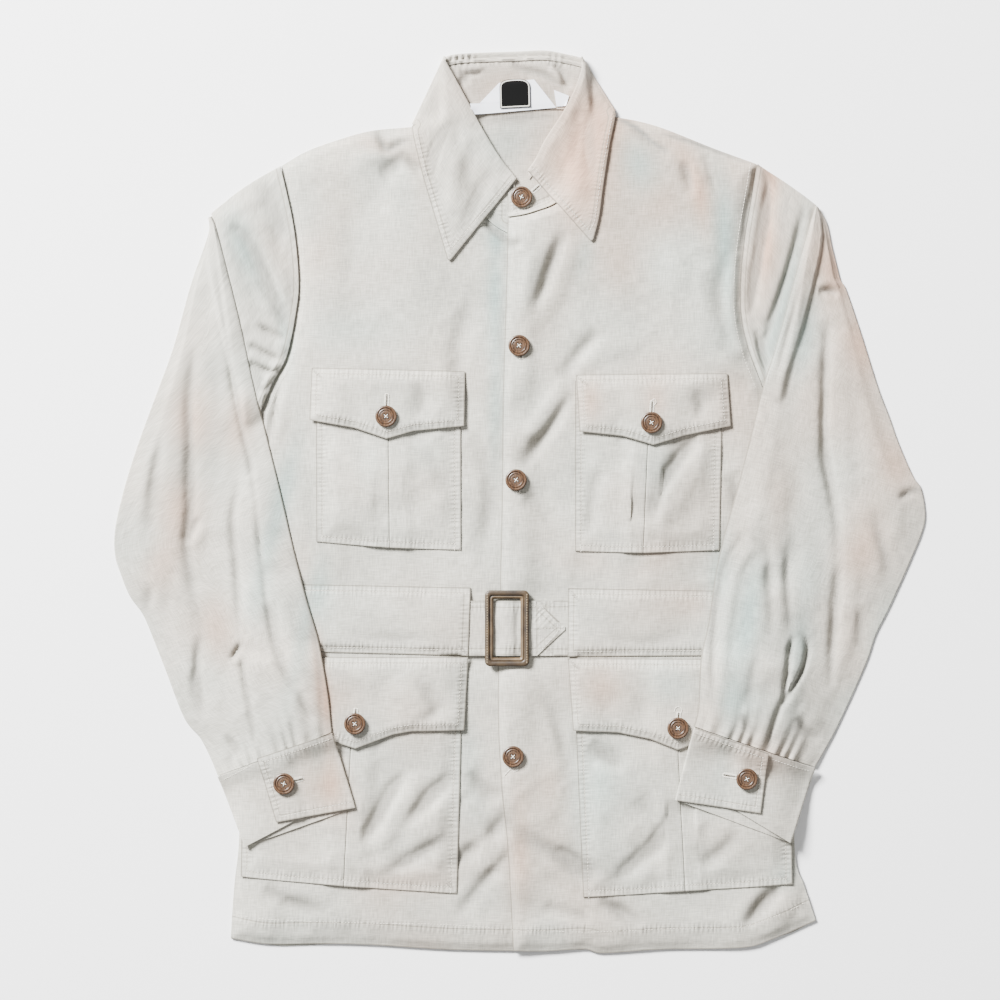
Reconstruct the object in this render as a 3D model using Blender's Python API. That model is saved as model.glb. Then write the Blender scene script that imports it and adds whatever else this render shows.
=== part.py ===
"""Safari jacket lying flat on its back, buttoned and belted, in metres with +Z up.

Each piece that is cut and sewn is a wall of cloth of its own. A wall starts as a grid
of points on its middle surface, which is laid on the pieces under it from above and
then thickened. Outlines are short tables in the photograph's pixels, which at() turns
into metres about the middle of the jacket. Left and right are as seen from above.
"""

import math

import bpy
import bmesh
from mathutils import Vector
from mathutils.bvhtree import BVHTree
from mathutils.kdtree import KDTree

# Driving dimensions
MM = 0.001
CHEST_WIDTH = 476 * MM
WALL = 1.0 * MM
GAP = 0.3 * MM
BELT_WIDTH = 52 * MM
BUCKLE_WIDTH = 42 * MM
BUCKLE_HEIGHT = 72 * MM
BUCKLE_BAR = 8.2 * MM
BUCKLE_DEPTH = 3.6 * MM
BUCKLE_CORNER = 5 * MM
BUCKLE_CLEARANCE = 2.9 * MM
CENTRE_BAR_WIDTH = 5 * MM
CENTRE_BAR_DEPTH = 1.6 * MM
BUTTON_DIAMETER = 20 * MM
BUTTON_DEPTH = 3.4 * MM
THREAD_HOLE = 1.6 * MM
THREAD_HOLE_SPREAD = 2.0 * MM
PLEAT_DEPTH = 11 * MM
PLEAT_SLOPE = 16 * MM
PLEAT_SHOULDER = 5 * MM
SLEEVE_CROWN = 2.6 * MM
SLEEVE_EDGE_RISE = 1.3 * MM
GATHER_HEIGHT = 0.9 * MM
CUFF_PUFF = 0.8 * MM
EDGE_REACH = 1.5 * MM

# Collar and band: how far they rise, stand in from the sides and reach round their folds
BAND_RISE = 0.9 * MM
BAND_INSET = 1.2 * MM
BAND_REACH = 1.1 * MM
UNDER_ROLL = 2.6 * MM
ROLL_REACH = 1.4 * MM
SIDE_REACH = 3.0 * MM
INNER_INSET = 2.2 * MM
LEAF_RISE = 0.5 * MM
LEAF_ROLL_RISE = 1.2 * MM

# The photograph's frame
CHEST_PIXELS = 501
MIDDLE_X = 520.05
MIDDLE_Y = 501.66
PIXEL = CHEST_WIDTH / CHEST_PIXELS

PITCH = WALL + GAP
LOW = WALL / 2
SEAM = 0.45 * MM

# Grid rows and columns
BODY_ACROSS = 12
BODY_LOWER = 17
BODY_CHEST = 4
BACK_LOWER = 5
BACK_UPPER = 12
SHOULDER_ROWS = 3
LEAF_ROWS = 6
LABEL_ROWS = 4
FLAP_ROWS = 5
CASING_ACROSS = 10
CASING_ROWS = 4
CHEST_POCKET_ROWS = 6
HIP_POCKET_ROWS = 8
ARM_SECTIONS = 17
ARM_TOP = 14
ARM_UNDER = 6
ARM_CUFF_SECTIONS = 4
HEAD_ROWS = 5
HEAD_SECTIONS = 12
CUFF_ROWS = 4
CUFF_BOTTOM = 7
CUFF_TONGUE = 5
CUFF_TOP = 6
BUTTON_SIDES = 12

# Columns: x, y. The fronts and the back share these edges, from the hem up.
SIDE_LEFT = [(230.5, 938.6), (234, 887), (239, 837), (240, 740), (242, 640), (249, 530), (261, 412)]
SIDE_RIGHT = [(816, 921), (804, 885), (795, 852), (794, 740), (790, 640), (779, 510), (762, 386)]
ARMHOLE_LEFT = [(261, 412), (273, 383), (287, 356), (296, 314), (299, 280), (294, 226), (281, 166)]
ARMHOLE_RIGHT = [(762, 386), (748, 348), (741, 314), (741, 275), (745, 235), (751, 200), (757, 164)]
SHOULDER_LEFT = [(281, 166), (306, 152), (339, 140), (373, 131), (414, 127), (447, 119)]
SHOULDER_RIGHT = [(757, 164), (716, 150), (666, 131), (615, 118), (588, 113)]
PLACKET_UNDER = [(534, 951.6), (534, 700), (535, 420)]
PLACKET_TOP = [(514, 951), (508, 853), (501, 780), (498, 700), (500, 590), (503, 420)]
HEM_LEFT = [(230.5, 938.6), (268, 944.4), (373, 945.3), (450, 950), (534, 951.6)]
HEM_RIGHT = [(514, 951), (584, 949.5), (601, 954), (668, 949.5), (742, 948), (774, 939), (816, 921)]
HEM_BACK = [(230.5, 938.6), (275, 946), (373, 944), (520, 950), (668, 948), (774, 938), (816, 921)]

# Collar sections from the left point round the back of the neck to the right point.
# Columns: which layer of the flattened collar, seam x, y, roll line x, y, outer edge x, y
COLLAR = [
    ("left", 507, 233, 516, 178, 448, 262),
    ("left", 487, 219, 499, 156, 440, 236),
    ("left", 467, 191, 482, 128, 431, 208),
    ("left", 455, 163, 468, 102, 423, 182),
    ("left", 449, 141, 456, 80, 417, 155),
    ("left", 447, 128, 448, 66, 413.5, 138),
    ("left fold", 447, 118, 443, 57.5, 412, 125),
    ("back", 462, 116.5, 458, 54, 432, 131),
    ("back", 487, 113.5, 485, 52.5, 472, 134),
    ("back", 515, 111.3, 515, 51.5, 515, 136),
    ("back", 545, 109.7, 545, 50.5, 558, 133),
    ("back", 571, 110, 568, 53.5, 594, 124),
    ("right fold", 588, 113, 583, 58, 616, 112),
    ("right", 588, 124, 579, 72, 614, 127),
    ("right", 587, 140, 572, 94, 611, 146),
    ("right", 583, 160, 560, 116, 607, 168),
    ("right", 573, 183, 545, 140, 602, 192),
    ("right", 556, 203, 535, 158, 597, 218),
    ("right", 534, 212, 528, 170, 592, 241),
]
# The band runs past the collar at both fronts. Columns: seam x, y, top x, y
BAND_END_LEFT = [(534, 235, 534, 207), (521, 236, 521, 190)]
BAND_END_RIGHT = [(521, 215.5, 519, 181), (508, 217.5, 508, 192)]
BAND_BELOW_ROLL = 7.8
COLLAR_BELOW_ROLL = 7.0

# Sleeves, from the shoulder to the cuff. Columns: x, y
ARM_INNER_LEFT = [(219, 243), (232, 287), (242, 329), (253, 381), (265, 430), (277.5, 480),
                  (294, 550), (307, 600), (319, 641), (328, 690), (332.6, 731)]
ARM_OUTER_LEFT = [(206.5, 243), (190, 287), (173, 348), (154, 400), (127, 478), (117, 517),
                  (114, 552), (118, 570), (129, 595), (143, 617), (165, 669), (184, 718),
                  (200, 740), (218, 776)]
ARM_INNER_RIGHT = [(806, 236), (796, 272), (784, 318), (772, 359), (763, 388), (740, 478),
                   (719, 556), (708, 624), (700, 661), (697, 707), (693, 725)]
ARM_OUTER_RIGHT = [(830, 236), (837, 266), (845, 287), (861, 333), (878, 387), (899, 444),
                   (914, 478), (922, 492), (925.6, 515), (920, 541), (900, 585), (876, 635),
                   (840, 722), (815, 767)]
HEAD_TOP_LEFT = [(281, 166), (240, 190), (215, 210), (210, 218), (209.5, 235), (209.5, 252)]
HEAD_TUCK_LEFT = [(247, 420), (238, 381), (226, 332), (216, 290), (209.5, 252)]
HEAD_TOP_RIGHT = [(757, 164), (782, 180), (811, 201), (819, 209), (823, 225), (826, 244)]
HEAD_TUCK_RIGHT = [(778, 396), (787, 363), (800, 322), (813, 278), (826, 244)]

# Cuffs. Columns: at the sleeve seam x, y, at the lower edge x, y
CUFF_LEFT = {
    "lap": (258, 762.3, 277, 821),
    "inner": (333, 732.5, 355.7, 806.3),
    "outer": (218, 777, 245.6, 845.6),
    "tongue": (286, 751.4, 302, 816),
}
CUFF_RIGHT = {
    "lap": (767, 752, 759.5, 812),
    "inner": (693, 726.5, 675, 799),
    "outer": (815, 768.5, 790, 842),
    "tongue": (741, 744, 735, 809),
}

# Pocket bags: corners and the pleat line. Columns: name, side, then x, y for the top
# left, top right, bottom left and bottom right corners, and the pleat's top and bottom
POCKETS = [
    ("chest_pocket_left", "front_left",
     316.3, 376, 460.5, 378, 316.6, 541.6, 460.9, 549.9, 388, 377, 389.8, 546),
    ("chest_pocket_right", "front_right",
     575, 381, 722, 380, 575, 551, 719, 550, 650, 381, 643, 552.5),
    ("hip_pocket_left", "front_left",
     244.5, 662, 463, 662, 241, 876.4, 456.8, 893, 355.5, 662, 344, 886),
    ("hip_pocket_right", "front_right",
     573, 664, 789, 664, 583, 896.6, 791.5, 883.7, 673, 664, 685, 891),
]
# Flaps. Columns: name, x, y for the top left and top right corners, then the lower edge
# from left to right: corner, hollow, point, hollow, corner
FLAPS = [
    ("chest_flap_left", 312, 368, 465, 371,
     [(310, 420), (355, 428), (386.6, 438.8), (414, 431), (464, 426)]),
    ("chest_flap_right", 576, 375, 727, 373.5,
     [(579.4, 431.4), (622, 436), (652.7, 445), (684, 435.5), (730, 426)]),
    ("hip_flap_left", 244.5, 657, 468, 656.8,
     [(243.5, 722), (300, 730), (355.5, 747.7), (400, 732), (464, 729.6)]),
    ("hip_flap_right", 567.7, 658, 788, 659,
     [(573, 730), (640, 735.5), (677, 748.8), (712, 736), (790, 729)]),
]
# Waist casings, from the side to the mouth. Columns: name, x, y of the four corners
# top left, top right, bottom left, bottom right
CASINGS = [
    ("waist_casing_left", 247, 583, 470.5, 587.5, 244, 650, 468, 655.4),
    ("waist_casing_right", 568, 588, 784, 592, 567.5, 656.2, 788, 655),
]
# The belt's middle line and its places along it, from the free end under the left bar to
# the fixed end, in pixels
BELT_MIDDLE = 628
FREE_START = 440
FREE_CASING_MOUTH = 470
FREE_UNDER_BAR = 484
BUCKLE_X = 507
FREE_POINT_BASE = 537
FIXED_CLEAR = 550
FREE_POINT_MIDDLE = 551
FREE_TIP = 565
FIXED_END = 596
# Where the free end climbs over the centre bar. Columns: mm from the buckle's middle, then
# the share of the climb from the lower layer to the crest
FREE_CLIMB = [(-10.6, 0.0), (-7.4, 0.38), (-4.4, 0.9), (-2.0, 1.0), (3.9, 1.0)]
# The buckle's bar in section. Columns: mm in from the outer edge, share of the depth
BUCKLE_PROFILE = [
    (0.9, 0.0), (0.0, 0.25), (0.0, 0.72), (1.0, 0.97), (2.6, 1.0),
    (6.6, 0.8), (8.2, 0.53), (8.2, 0.17), (7.4, 0.0),
]

# Buttons. Columns: name, x, y
BUTTONS = [
    ("button_neck", 521.5, 197),
    ("button_front_1", 519, 346),
    ("button_front_2", 516, 480),
    ("button_front_3", 513, 756),
    ("button_chest_left", 386.6, 416.7),
    ("button_chest_right", 650.7, 423),
    ("button_hip_left", 355.5, 722.7),
    ("button_hip_right", 677, 727),
    ("button_cuff_left", 284.9, 782.4),
    ("button_cuff_right", 745.7, 777.7),
]
# Largest soft folds of the fronts. Columns: x, y of both ends, half width and height in mm
BODY_FOLDS = [
    (407, 151, 425, 260, 16, 1.6),
    (650, 136, 690, 210, 18, 1.8),
    (716, 420, 655, 520, 20, 1.4),
    (490, 790, 420, 840, 20, 1.5),
    (575, 845, 640, 915, 22, 1.7),
    (762, 880, 745, 935, 18, 1.8),
]
# Long folds of the sleeves, ridges above zero and troughs below. Columns as above
SLEEVE_FOLDS = [
    (190, 380, 188, 540, 16, -1.4),
    (236, 500, 240, 640, 15, 1.5),
    (150, 560, 200, 700, 18, 1.2),
    (205, 640, 250, 740, 16, -1.3),
    (828, 350, 838, 540, 17, -1.5),
    (836, 560, 826, 700, 16, -1.3),
    (878, 480, 880, 590, 18, 1.4),
    (788, 500, 770, 640, 17, 1.3),
]

# Neck labels. Columns: x, y of the corners, in order
BACKING_CORNERS = [(476, 114), (499, 84), (534, 80), (556, 107.5)]
LABEL_CORNERS = [(501.5, 109), (500.5, 82), (529.5, 81.5), (530, 107)]
CARE_CORNERS = [(556.5, 106), (556, 92), (568, 97), (566, 105)]

# A button in section. Columns: radius share, depth share
BUTTON_PROFILE = [(0.0, 0.0), (0.75, 0.0), (1.0, 0.5), (0.9, 1.0), (0.68, 0.85), (0.0, 0.62)]

# Colour, roughness
CLOTH = ((0.73, 0.70, 0.64), 0.85)
LEATHER = ((0.25, 0.15, 0.09), 0.55)
BUTTON_BROWN = ((0.30, 0.16, 0.09), 0.35)
WHITE_CLOTH = ((0.90, 0.90, 0.92), 0.80)
BLACK_CLOTH = ((0.02, 0.02, 0.02), 0.75)

BOX_FACES = [[0, 3, 2, 1], [4, 5, 6, 7], [0, 1, 5, 4], [1, 2, 6, 5], [2, 3, 7, 6], [3, 0, 4, 7]]

SOLIDS = {}


def clear_scene():
    for item in list(bpy.data.objects):
        bpy.data.objects.remove(item, do_unlink=True)


def at(x, y):
    """A pixel of the photograph as a point of the jacket's plan."""
    return Vector(((x - MIDDLE_X) * PIXEL, (MIDDLE_Y - y) * PIXEL))


def spline(points, spacing=2 * MM):
    """Close points on the smooth curve through the table's points."""
    knots = [at(*point) for point in points]
    knots = [2 * knots[0] - knots[1]] + knots + [2 * knots[-1] - knots[-2]]
    line = []
    for before, start, end, after in zip(knots, knots[1:], knots[2:], knots[3:]):
        steps = max(2, int((end - start).length / spacing))
        for step in range(steps):
            t = step / steps
            line.append(0.5 * (
                2 * start
                + (end - before) * t
                + (2 * before - 5 * start + 4 * end - after) * t * t
                + (3 * start - before - 3 * end + after) * t ** 3
            ))
    line.append(knots[-2])
    return line


def along(points, count, ease=1.0):
    """count + 1 points evenly along the curve, or closer to its end with ease under 1."""
    line = spline(points)
    reach = [0.0]
    for start, end in zip(line, line[1:]):
        reach.append(reach[-1] + (end - start).length)
    picked = []
    place = 0
    for step in range(count + 1):
        want = reach[-1] * (step / count) ** ease
        while place < len(line) - 2 and reach[place + 1] < want:
            place += 1
        share = (want - reach[place]) / (reach[place + 1] - reach[place])
        picked.append(line[place].lerp(line[place + 1], min(1.0, share)))
    return picked


def patch(left, right, bottom, top):
    """Columns of plan points between four edges. Left and right have one length, and so
    have bottom and top."""
    columns = []
    for i, (low, high) in enumerate(zip(bottom, top)):
        u = i / (len(bottom) - 1)
        column = []
        for j, (a, b) in enumerate(zip(left, right)):
            v = j / (len(left) - 1)
            corners = ((1 - v) * ((1 - u) * bottom[0] + u * bottom[-1])
                       + v * ((1 - u) * top[0] + u * top[-1]))
            column.append((1 - u) * a + u * b + (1 - v) * low + v * high - corners)
        columns.append(column)
    return columns


def between(first, last, shares):
    """Columns of plan points at these shares of the way from one edge to the other."""
    return [[a.lerp(b, share) for a, b in zip(first, last)] for share in shares]


def even(count):
    return [step / (count - 1) for step in range(count)]


def direction(line, index):
    """The unit direction of a line of points at one of them, halving its bend."""
    total = Vector((0, 0, 0))
    if index > 0:
        total += (line[index] - line[index - 1]).normalized()
    if index < len(line) - 1:
        total += (line[index + 1] - line[index]).normalized()
    return total.normalized()


def wall(columns, thickness=WALL):
    """Points and faces of the closed wall round a grid of middle points."""
    rows = [list(row) for row in zip(*columns)]
    wide, high = len(columns), len(columns[0])
    points = []
    for side in (0.5, -0.5):
        for i in range(wide):
            for j in range(high):
                normal = direction(rows[j], i).cross(direction(columns[i], j)).normalized()
                points.append(columns[i][j] + normal * thickness * side)
    far = wide * high

    def index(i, j, under):
        return i * high + j + under * far

    faces = []
    for i in range(wide - 1):
        for j in range(high - 1):
            cell = [(i, j), (i + 1, j), (i + 1, j + 1), (i, j + 1)]
            faces.append([index(*corner, 0) for corner in cell])
            faces.append([index(*corner, 1) for corner in reversed(cell)])
    rim = [(i, 0) for i in range(wide)]
    rim += [(wide - 1, j) for j in range(1, high)]
    rim += [(i, high - 1) for i in range(wide - 2, -1, -1)]
    rim += [(0, j) for j in range(high - 2, 0, -1)]
    for (i, j), (k, m) in zip(rim, rim[1:] + rim[:1]):
        faces.append([index(i, j, 0), index(i, j, 1), index(k, m, 1), index(k, m, 0)])
    return points, faces


class Ground:
    """The top of the pieces laid so far, over a floor at zero."""

    def __init__(self, names):
        points, faces = [], []
        for name in names:
            first = len(points)
            points += SOLIDS[name][0]
            faces += [[first + corner for corner in face] for face in SOLIDS[name][1]]
        self.tree = BVHTree.FromPolygons(points, faces) if points else None
        self.points = points
        self.corners = KDTree(len(points))
        for index, point in enumerate(points):
            self.corners.insert(Vector((point.x, point.y, 0)), index)
        self.corners.balance()

    def under(self, x, y):
        if self.tree is None:
            return 0.0
        hit = self.tree.ray_cast(Vector((x, y, 1)), Vector((0, 0, -1)))[0]
        return max(0.0, hit.z) if hit else 0.0

    def height(self, x, y, radius):
        """The highest point within the radius."""
        highest = self.under(x, y)
        for place, index, away in self.corners.find_range(Vector((x, y, 0)), radius):
            highest = max(highest, self.points[index].z)
        rings = 3
        for ring in range(1, rings + 1):
            spokes = 6 * ring
            for step in range(spokes):
                turn = math.tau * step / spokes
                far = radius * ring / rings
                top = self.under(x + far * math.cos(turn), y + far * math.sin(turn))
                highest = max(highest, top)
        return highest


def lay(columns, names, lift=None):
    """Middle points of a sheet laid on the named pieces. lift gives the room under it."""
    ground = Ground(names)
    laid = []
    for i, column in enumerate(columns):
        raised = []
        for j, point in enumerate(column):
            near = 0.0
            for k in range(max(0, i - 1), min(len(columns), i + 2)):
                for m in range(max(0, j - 1), min(len(column), j + 2)):
                    near = max(near, (columns[k][m] - point).length)
            base = ground.height(point.x, point.y, near)
            room = lift(point, i, j) if lift else 0.0
            floor = base + GAP if base > 0 else 0.0
            raised.append(Vector((point.x, point.y, floor + LOW + max(0.0, room))))
        laid.append(raised)
    return laid


def folds(table):
    """A function of a plan point: the height of the soft folds there."""
    rows = []
    for x1, y1, x2, y2, half, height in table:
        rows.append((at(x1, y1), at(x2, y2), half * MM, height * MM))

    def height_at(point):
        total = 0.0
        for start, end, half, height in rows:
            run = end - start
            share = min(1.0, max(0.0, (point - start).dot(run) / run.length_squared))
            off = (point - start - run * share).length / half
            total += height * math.exp(-off * off)
        return total

    return height_at


def turn_over(first, last, outward, reach, steps=3):
    """Points of the fold from one layer's edge point to the other's."""
    middle = (first + last) / 2
    half = (first - last) / 2
    arc = []
    for step in range(1, steps + 1):
        angle = math.pi * step / (steps + 1)
        arc.append(middle + half * math.cos(angle) + outward * reach * math.sin(angle))
    return arc


def turn_columns(first, last, outwards, reaches, steps=3):
    """Fold columns that join the last column of one layer to the first of the next."""
    arcs = []
    for a, b, out, reach in zip(first, last, outwards, reaches):
        arcs.append(turn_over(a, b, out, reach, steps))
    return [list(column) for column in zip(*arcs)]


def flat(vector):
    return Vector((vector.x, vector.y, 0.0))


def material(name, look):
    colour, roughness = look
    made = bpy.data.materials.new(name)
    made.use_nodes = True
    shader = made.node_tree.nodes["Principled BSDF"]
    shader.inputs["Base Color"].default_value = (*colour, 1.0)
    shader.inputs["Roughness"].default_value = roughness
    return made


def add_object(name, points, faces, look, smooth=True):
    mesh = bpy.data.meshes.new(name)
    mesh.from_pydata([tuple(point) for point in points], [], faces)
    work = bmesh.new()
    work.from_mesh(mesh)
    bmesh.ops.recalc_face_normals(work, faces=work.faces)
    work.to_mesh(mesh)
    work.free()
    mesh.materials.append(material(name, look))
    made = bpy.data.objects.new(name, mesh)
    bpy.context.scene.collection.objects.link(made)
    if smooth:
        mesh.shade_smooth()
        mesh.set_sharp_from_angle(angle=math.radians(40))
    return made


def add_sheet(name, columns, look=CLOTH):
    SOLIDS[name] = wall(columns)
    add_object(name, *SOLIDS[name], look)


def collar_rows(kind):
    return [row for row in COLLAR if row[0] == kind]


def seam_points(kinds):
    return [at(row[1], row[2]) for row in COLLAR if row[0] in kinds]


def below_roll(row, pixels):
    """The point this far from the roll line towards the seam."""
    seam, roll = at(row[1], row[2]), at(row[3], row[4])
    return roll + (seam - roll).normalized() * pixels * PIXEL


def make_back():
    left = along(SIDE_LEFT, BACK_LOWER) + along(ARMHOLE_LEFT, BACK_UPPER)[1:]
    right = along(SIDE_RIGHT, BACK_LOWER) + along(ARMHOLE_RIGHT, BACK_UPPER)[1:]
    neck = seam_points(("left fold", "back", "right fold"))
    shoulder_left = along(SHOULDER_LEFT, SHOULDER_ROWS)
    shoulder_right = along(SHOULDER_RIGHT, SHOULDER_ROWS)
    top = shoulder_left[:-1] + neck + shoulder_right[-2::-1]
    bottom = along(HEM_BACK, len(top) - 1)
    add_sheet("back_panel", lay(patch(left, right, bottom, top), ["leaf under"]))


def front_plan(side, armhole, placket, neck, hem, shoulder):
    """A front from the side seam to its front edge, from the hem up to the shoulder."""
    outer = along(side, BODY_LOWER) + along(armhole, BODY_CHEST + len(neck) - 1)[1:]
    start = at(*placket[-1])
    chest = [start.lerp(neck[0], step / BODY_CHEST) for step in range(1, BODY_CHEST + 1)]
    inner = along(placket, BODY_LOWER) + chest + neck[1:]
    return patch(outer, inner, along(hem, BODY_ACROSS), along(shoulder, BODY_ACROSS))


def make_fronts_and_band():
    body_folds = folds(BODY_FOLDS)

    def lift(point, i, j):
        return body_folds(point)

    back_rows = collar_rows("back")
    folds_left, folds_right = collar_rows("left fold")[0], collar_rows("right fold")[0]
    left_rows, right_rows = collar_rows("left"), collar_rows("right")

    def band_section(row):
        seam = at(row[1], row[2])
        top = below_roll(row, BAND_BELOW_ROLL)
        seam = seam + (top - seam).normalized() * SEAM
        return [seam, seam.lerp(top, 0.5), top]

    def end_section(row):
        seam, top = at(row[0], row[1]), at(row[2], row[3])
        seam = seam + (top - seam).normalized() * SEAM
        return [seam, seam.lerp(top, 0.5), top]

    def rise(point, i, j):
        return BAND_RISE * j / 2

    back_plan = [band_section(row) for row in [folds_left, *back_rows, folds_right]]
    inset = Vector((BAND_INSET, 0))
    back_plan[0] = [point + inset for point in back_plan[0]]
    back_plan[-1] = [point - inset for point in back_plan[-1]]
    band_back = lay(back_plan, ["leaf under"], rise)
    SOLIDS["band back"] = wall(band_back)

    neck = [at(x, y) for x, y, top_x, top_y in BAND_END_LEFT] + seam_points(("left", "left fold"))
    plan = front_plan(SIDE_LEFT, ARMHOLE_LEFT, PLACKET_UNDER, neck, HEM_LEFT, SHOULDER_LEFT)
    add_sheet("front_left", lay(plan, ["back_panel", "leaf under"], lift))

    left_plan = [end_section(row) for row in BAND_END_LEFT]
    left_plan += [band_section(row) for row in [*left_rows, folds_left]]
    left_plan[-1] = [point + inset for point in left_plan[-1]]
    band_left = lay(left_plan, ["back_panel", "leaf under", "band back"])
    SOLIDS["band left"] = wall(band_left)

    neck = [at(x, y) for x, y, top_x, top_y in reversed(BAND_END_RIGHT)]
    neck += seam_points(("right fold", "right"))[::-1]
    plan = front_plan(SIDE_RIGHT, ARMHOLE_RIGHT, PLACKET_TOP, neck, HEM_RIGHT[::-1], SHOULDER_RIGHT)
    under = ["back_panel", "leaf under", "front_left", "band left"]
    add_sheet("front_right", lay(plan, under, lift))

    right_plan = [band_section(row) for row in [folds_right, *right_rows]]
    right_plan += [end_section(row) for row in BAND_END_RIGHT]
    right_plan[0] = [point - inset for point in right_plan[0]]
    band_right = lay(right_plan, ["back_panel", "leaf under", "band back", "band left", "front_left"])

    west, east = Vector((-1, 0, 0)), Vector((1, 0, 0))
    reach = [BAND_REACH] * 3
    columns = band_left + turn_columns(band_left[-1], band_back[0], [west] * 3, reach)
    columns += band_back + turn_columns(band_back[-1], band_right[0], [east] * 3, reach)
    add_sheet("collar_band", columns + band_right)


def leaf_section(row):
    """Plan points of one collar section: from the seam to the roll, and on to the edge."""
    roll, edge = at(row[3], row[4]), at(row[5], row[6])
    seam = below_roll(row, COLLAR_BELOW_ROLL)
    inward = (seam - roll).normalized()
    turn = roll + inward * ROLL_REACH
    outer = [turn.lerp(edge, share) for share in even(LEAF_ROWS)]
    return [seam, turn], outer, -inward


def make_leaf_under():
    """The collar's outer layer behind the neck, which lies on the floor."""
    rows = [collar_rows("left fold")[0], *collar_rows("back"), collar_rows("right fold")[0]]
    plan = [leaf_section(row)[1] for row in rows]
    inset = Vector((SIDE_REACH, 0))
    plan[0] = [point + inset for point in plan[0]]
    plan[-1] = [point - inset for point in plan[-1]]
    under = lay(plan, [])
    SOLIDS["leaf under"] = wall(under)
    return under


def make_leaf(under):
    back = [collar_rows("left fold")[0], *collar_rows("back"), collar_rows("right fold")[0]]
    behind = ["back_panel", "leaf under", "collar_band", "front_left", "front_right"]

    def inner_layer(rows, names, sides, lift):
        plan = []
        for row, side in zip(rows, sides):
            plan.append([point + Vector((side * INNER_INSET, 0)) for point in leaf_section(row)[0]])
        return lay(plan, names, lift)

    def back_lift(point, i, j):
        return BAND_RISE if j == 0 else UNDER_ROLL - WALL

    back_inner = inner_layer(back, ["leaf under"], [1, 0, 0, 0, 0, 0, -1], back_lift)
    SOLIDS["leaf inner back"] = wall(back_inner)

    def join(inner, outer, rows):
        columns = []
        for low, high, row in zip(inner, outer, rows):
            outward = leaf_section(row)[2]
            columns.append(low + turn_over(low[-1], high[0], flat(outward), ROLL_REACH) + high)
        return columns

    def front_half(rows, sides, name):
        names = ["leaf inner back", "leaf under", "collar_band"]
        inner = inner_layer(rows, ["leaf inner back", "leaf under", "back_panel"], sides, None)
        SOLIDS[name] = wall(inner)
        plan = []
        for row, side in zip(rows, sides):
            plan.append([point + Vector((side * SIDE_REACH, 0)) for point in leaf_section(row)[1]])

        def lift(point, i, j):
            return LEAF_ROLL_RISE * math.exp(-j) + LEAF_RISE

        outer = lay(plan, behind + names + [name], lift)
        return join(inner, outer, rows)

    left = front_half([*collar_rows("left"), back[0]], [0] * 6 + [1], "leaf inner left")
    right = front_half([back[-1], *collar_rows("right")], [-1] + [0] * 6, "leaf inner right")
    middle = join(back_inner, under, back)

    def side_turn(first, last, row, sign):
        roll, edge = at(row[3], row[4]), at(row[5], row[6])
        run = (edge - roll).normalized()
        out = Vector((run.y, -run.x, 0.0)) * sign
        rolled = len(first) - LEAF_ROWS
        near = SIDE_REACH / 2
        reaches = [near + (SIDE_REACH - near) * step / rolled for step in range(rolled)]
        return turn_columns(first, last, [out] * len(first), reaches + [SIDE_REACH] * LEAF_ROWS, 5)

    columns = left + side_turn(left[-1], middle[0], back[0], 1)
    columns += middle + side_turn(middle[-1], right[0], back[-1], -1) + right
    add_sheet("collar_leaf", columns)


def quad_plan(corners, wide, high):
    """A grid over four corners given in order round the piece."""
    a, b, c, d = corners
    first = [a.lerp(b, v) for v in even(high)]
    last = [d.lerp(c, v) for v in even(high)]
    return between(first, last, even(wide))


def make_labels():
    stack = ["collar_band", "collar_leaf", "back_panel"]
    for name, corners, look in (
        ("neck_label_backing", BACKING_CORNERS, WHITE_CLOTH),
        ("neck_label", LABEL_CORNERS, BLACK_CLOTH),
        ("care_label", CARE_CORNERS, WHITE_CLOTH),
    ):
        plan = quad_plan([at(*corner) for corner in corners], LABEL_ROWS, LABEL_ROWS)
        add_sheet(name, lay(plan, stack), look)
        stack.append(name)


def pleated_profile(left, right):
    """Columns across a bag with an inverted box pleat: how far from the pleat line, and
    how high over the bag's lowest layer."""
    radius = PITCH / 2
    top, middle, low = 2 * PITCH, PITCH, 0.0
    meet = (GAP + WALL) / 2
    slope = PLEAT_DEPTH + PLEAT_SLOPE
    half = [(left, low), ((left + slope) / 2, low), (slope, low), (PLEAT_DEPTH + PLEAT_SHOULDER, top)]
    turns = [math.radians(angle) for angle in (90, 30, -30, -90)]
    for turn in turns:
        across = meet + radius - radius * math.cos(turn)
        half.append((across, middle + radius + radius * math.sin(turn)))
    for turn in turns:
        across = PLEAT_DEPTH - radius + radius * math.cos(turn)
        half.append((across, radius + radius * math.sin(turn)))
    start = [(-across, height) for across, height in half]
    end = [(across, height) for across, height in reversed(half)]
    end[-1] = (right, low)
    end[-2] = ((right + slope) / 2, low)
    return start + end


def make_pockets():
    for name, front, *values in POCKETS:
        tl, tr, bl, br, top, bottom = [at(*values[k:k + 2]) for k in range(0, 12, 2)]
        ground = Ground([front, "waist_casing_left", "waist_casing_right"])
        rows = even(CHEST_POCKET_ROWS if "chest" in name else HIP_POCKET_ROWS)
        spread = (bottom - top).length / (len(rows) - 1)
        widths = pleated_profile((top - tl).length, (tr - top).length)
        pleat = PLEAT_DEPTH + PLEAT_SHOULDER
        columns = []
        for across, high in widths:
            column = []
            for v in rows:
                middle = top.lerp(bottom, v)
                edge = tl.lerp(bl, v) if across < 0 else tr.lerp(br, v)
                full = (top - tl).length if across < 0 else (tr - top).length
                if abs(across) > pleat:
                    point = near = middle.lerp(edge, abs(across) / full)
                else:
                    point = middle + (edge - middle).normalized() * abs(across)
                    near = middle
                base = ground.height(near.x, near.y, spread)
                column.append(Vector((point.x, point.y, base + GAP + LOW + high)))
            columns.append(column)
        add_sheet(name, columns)


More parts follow.
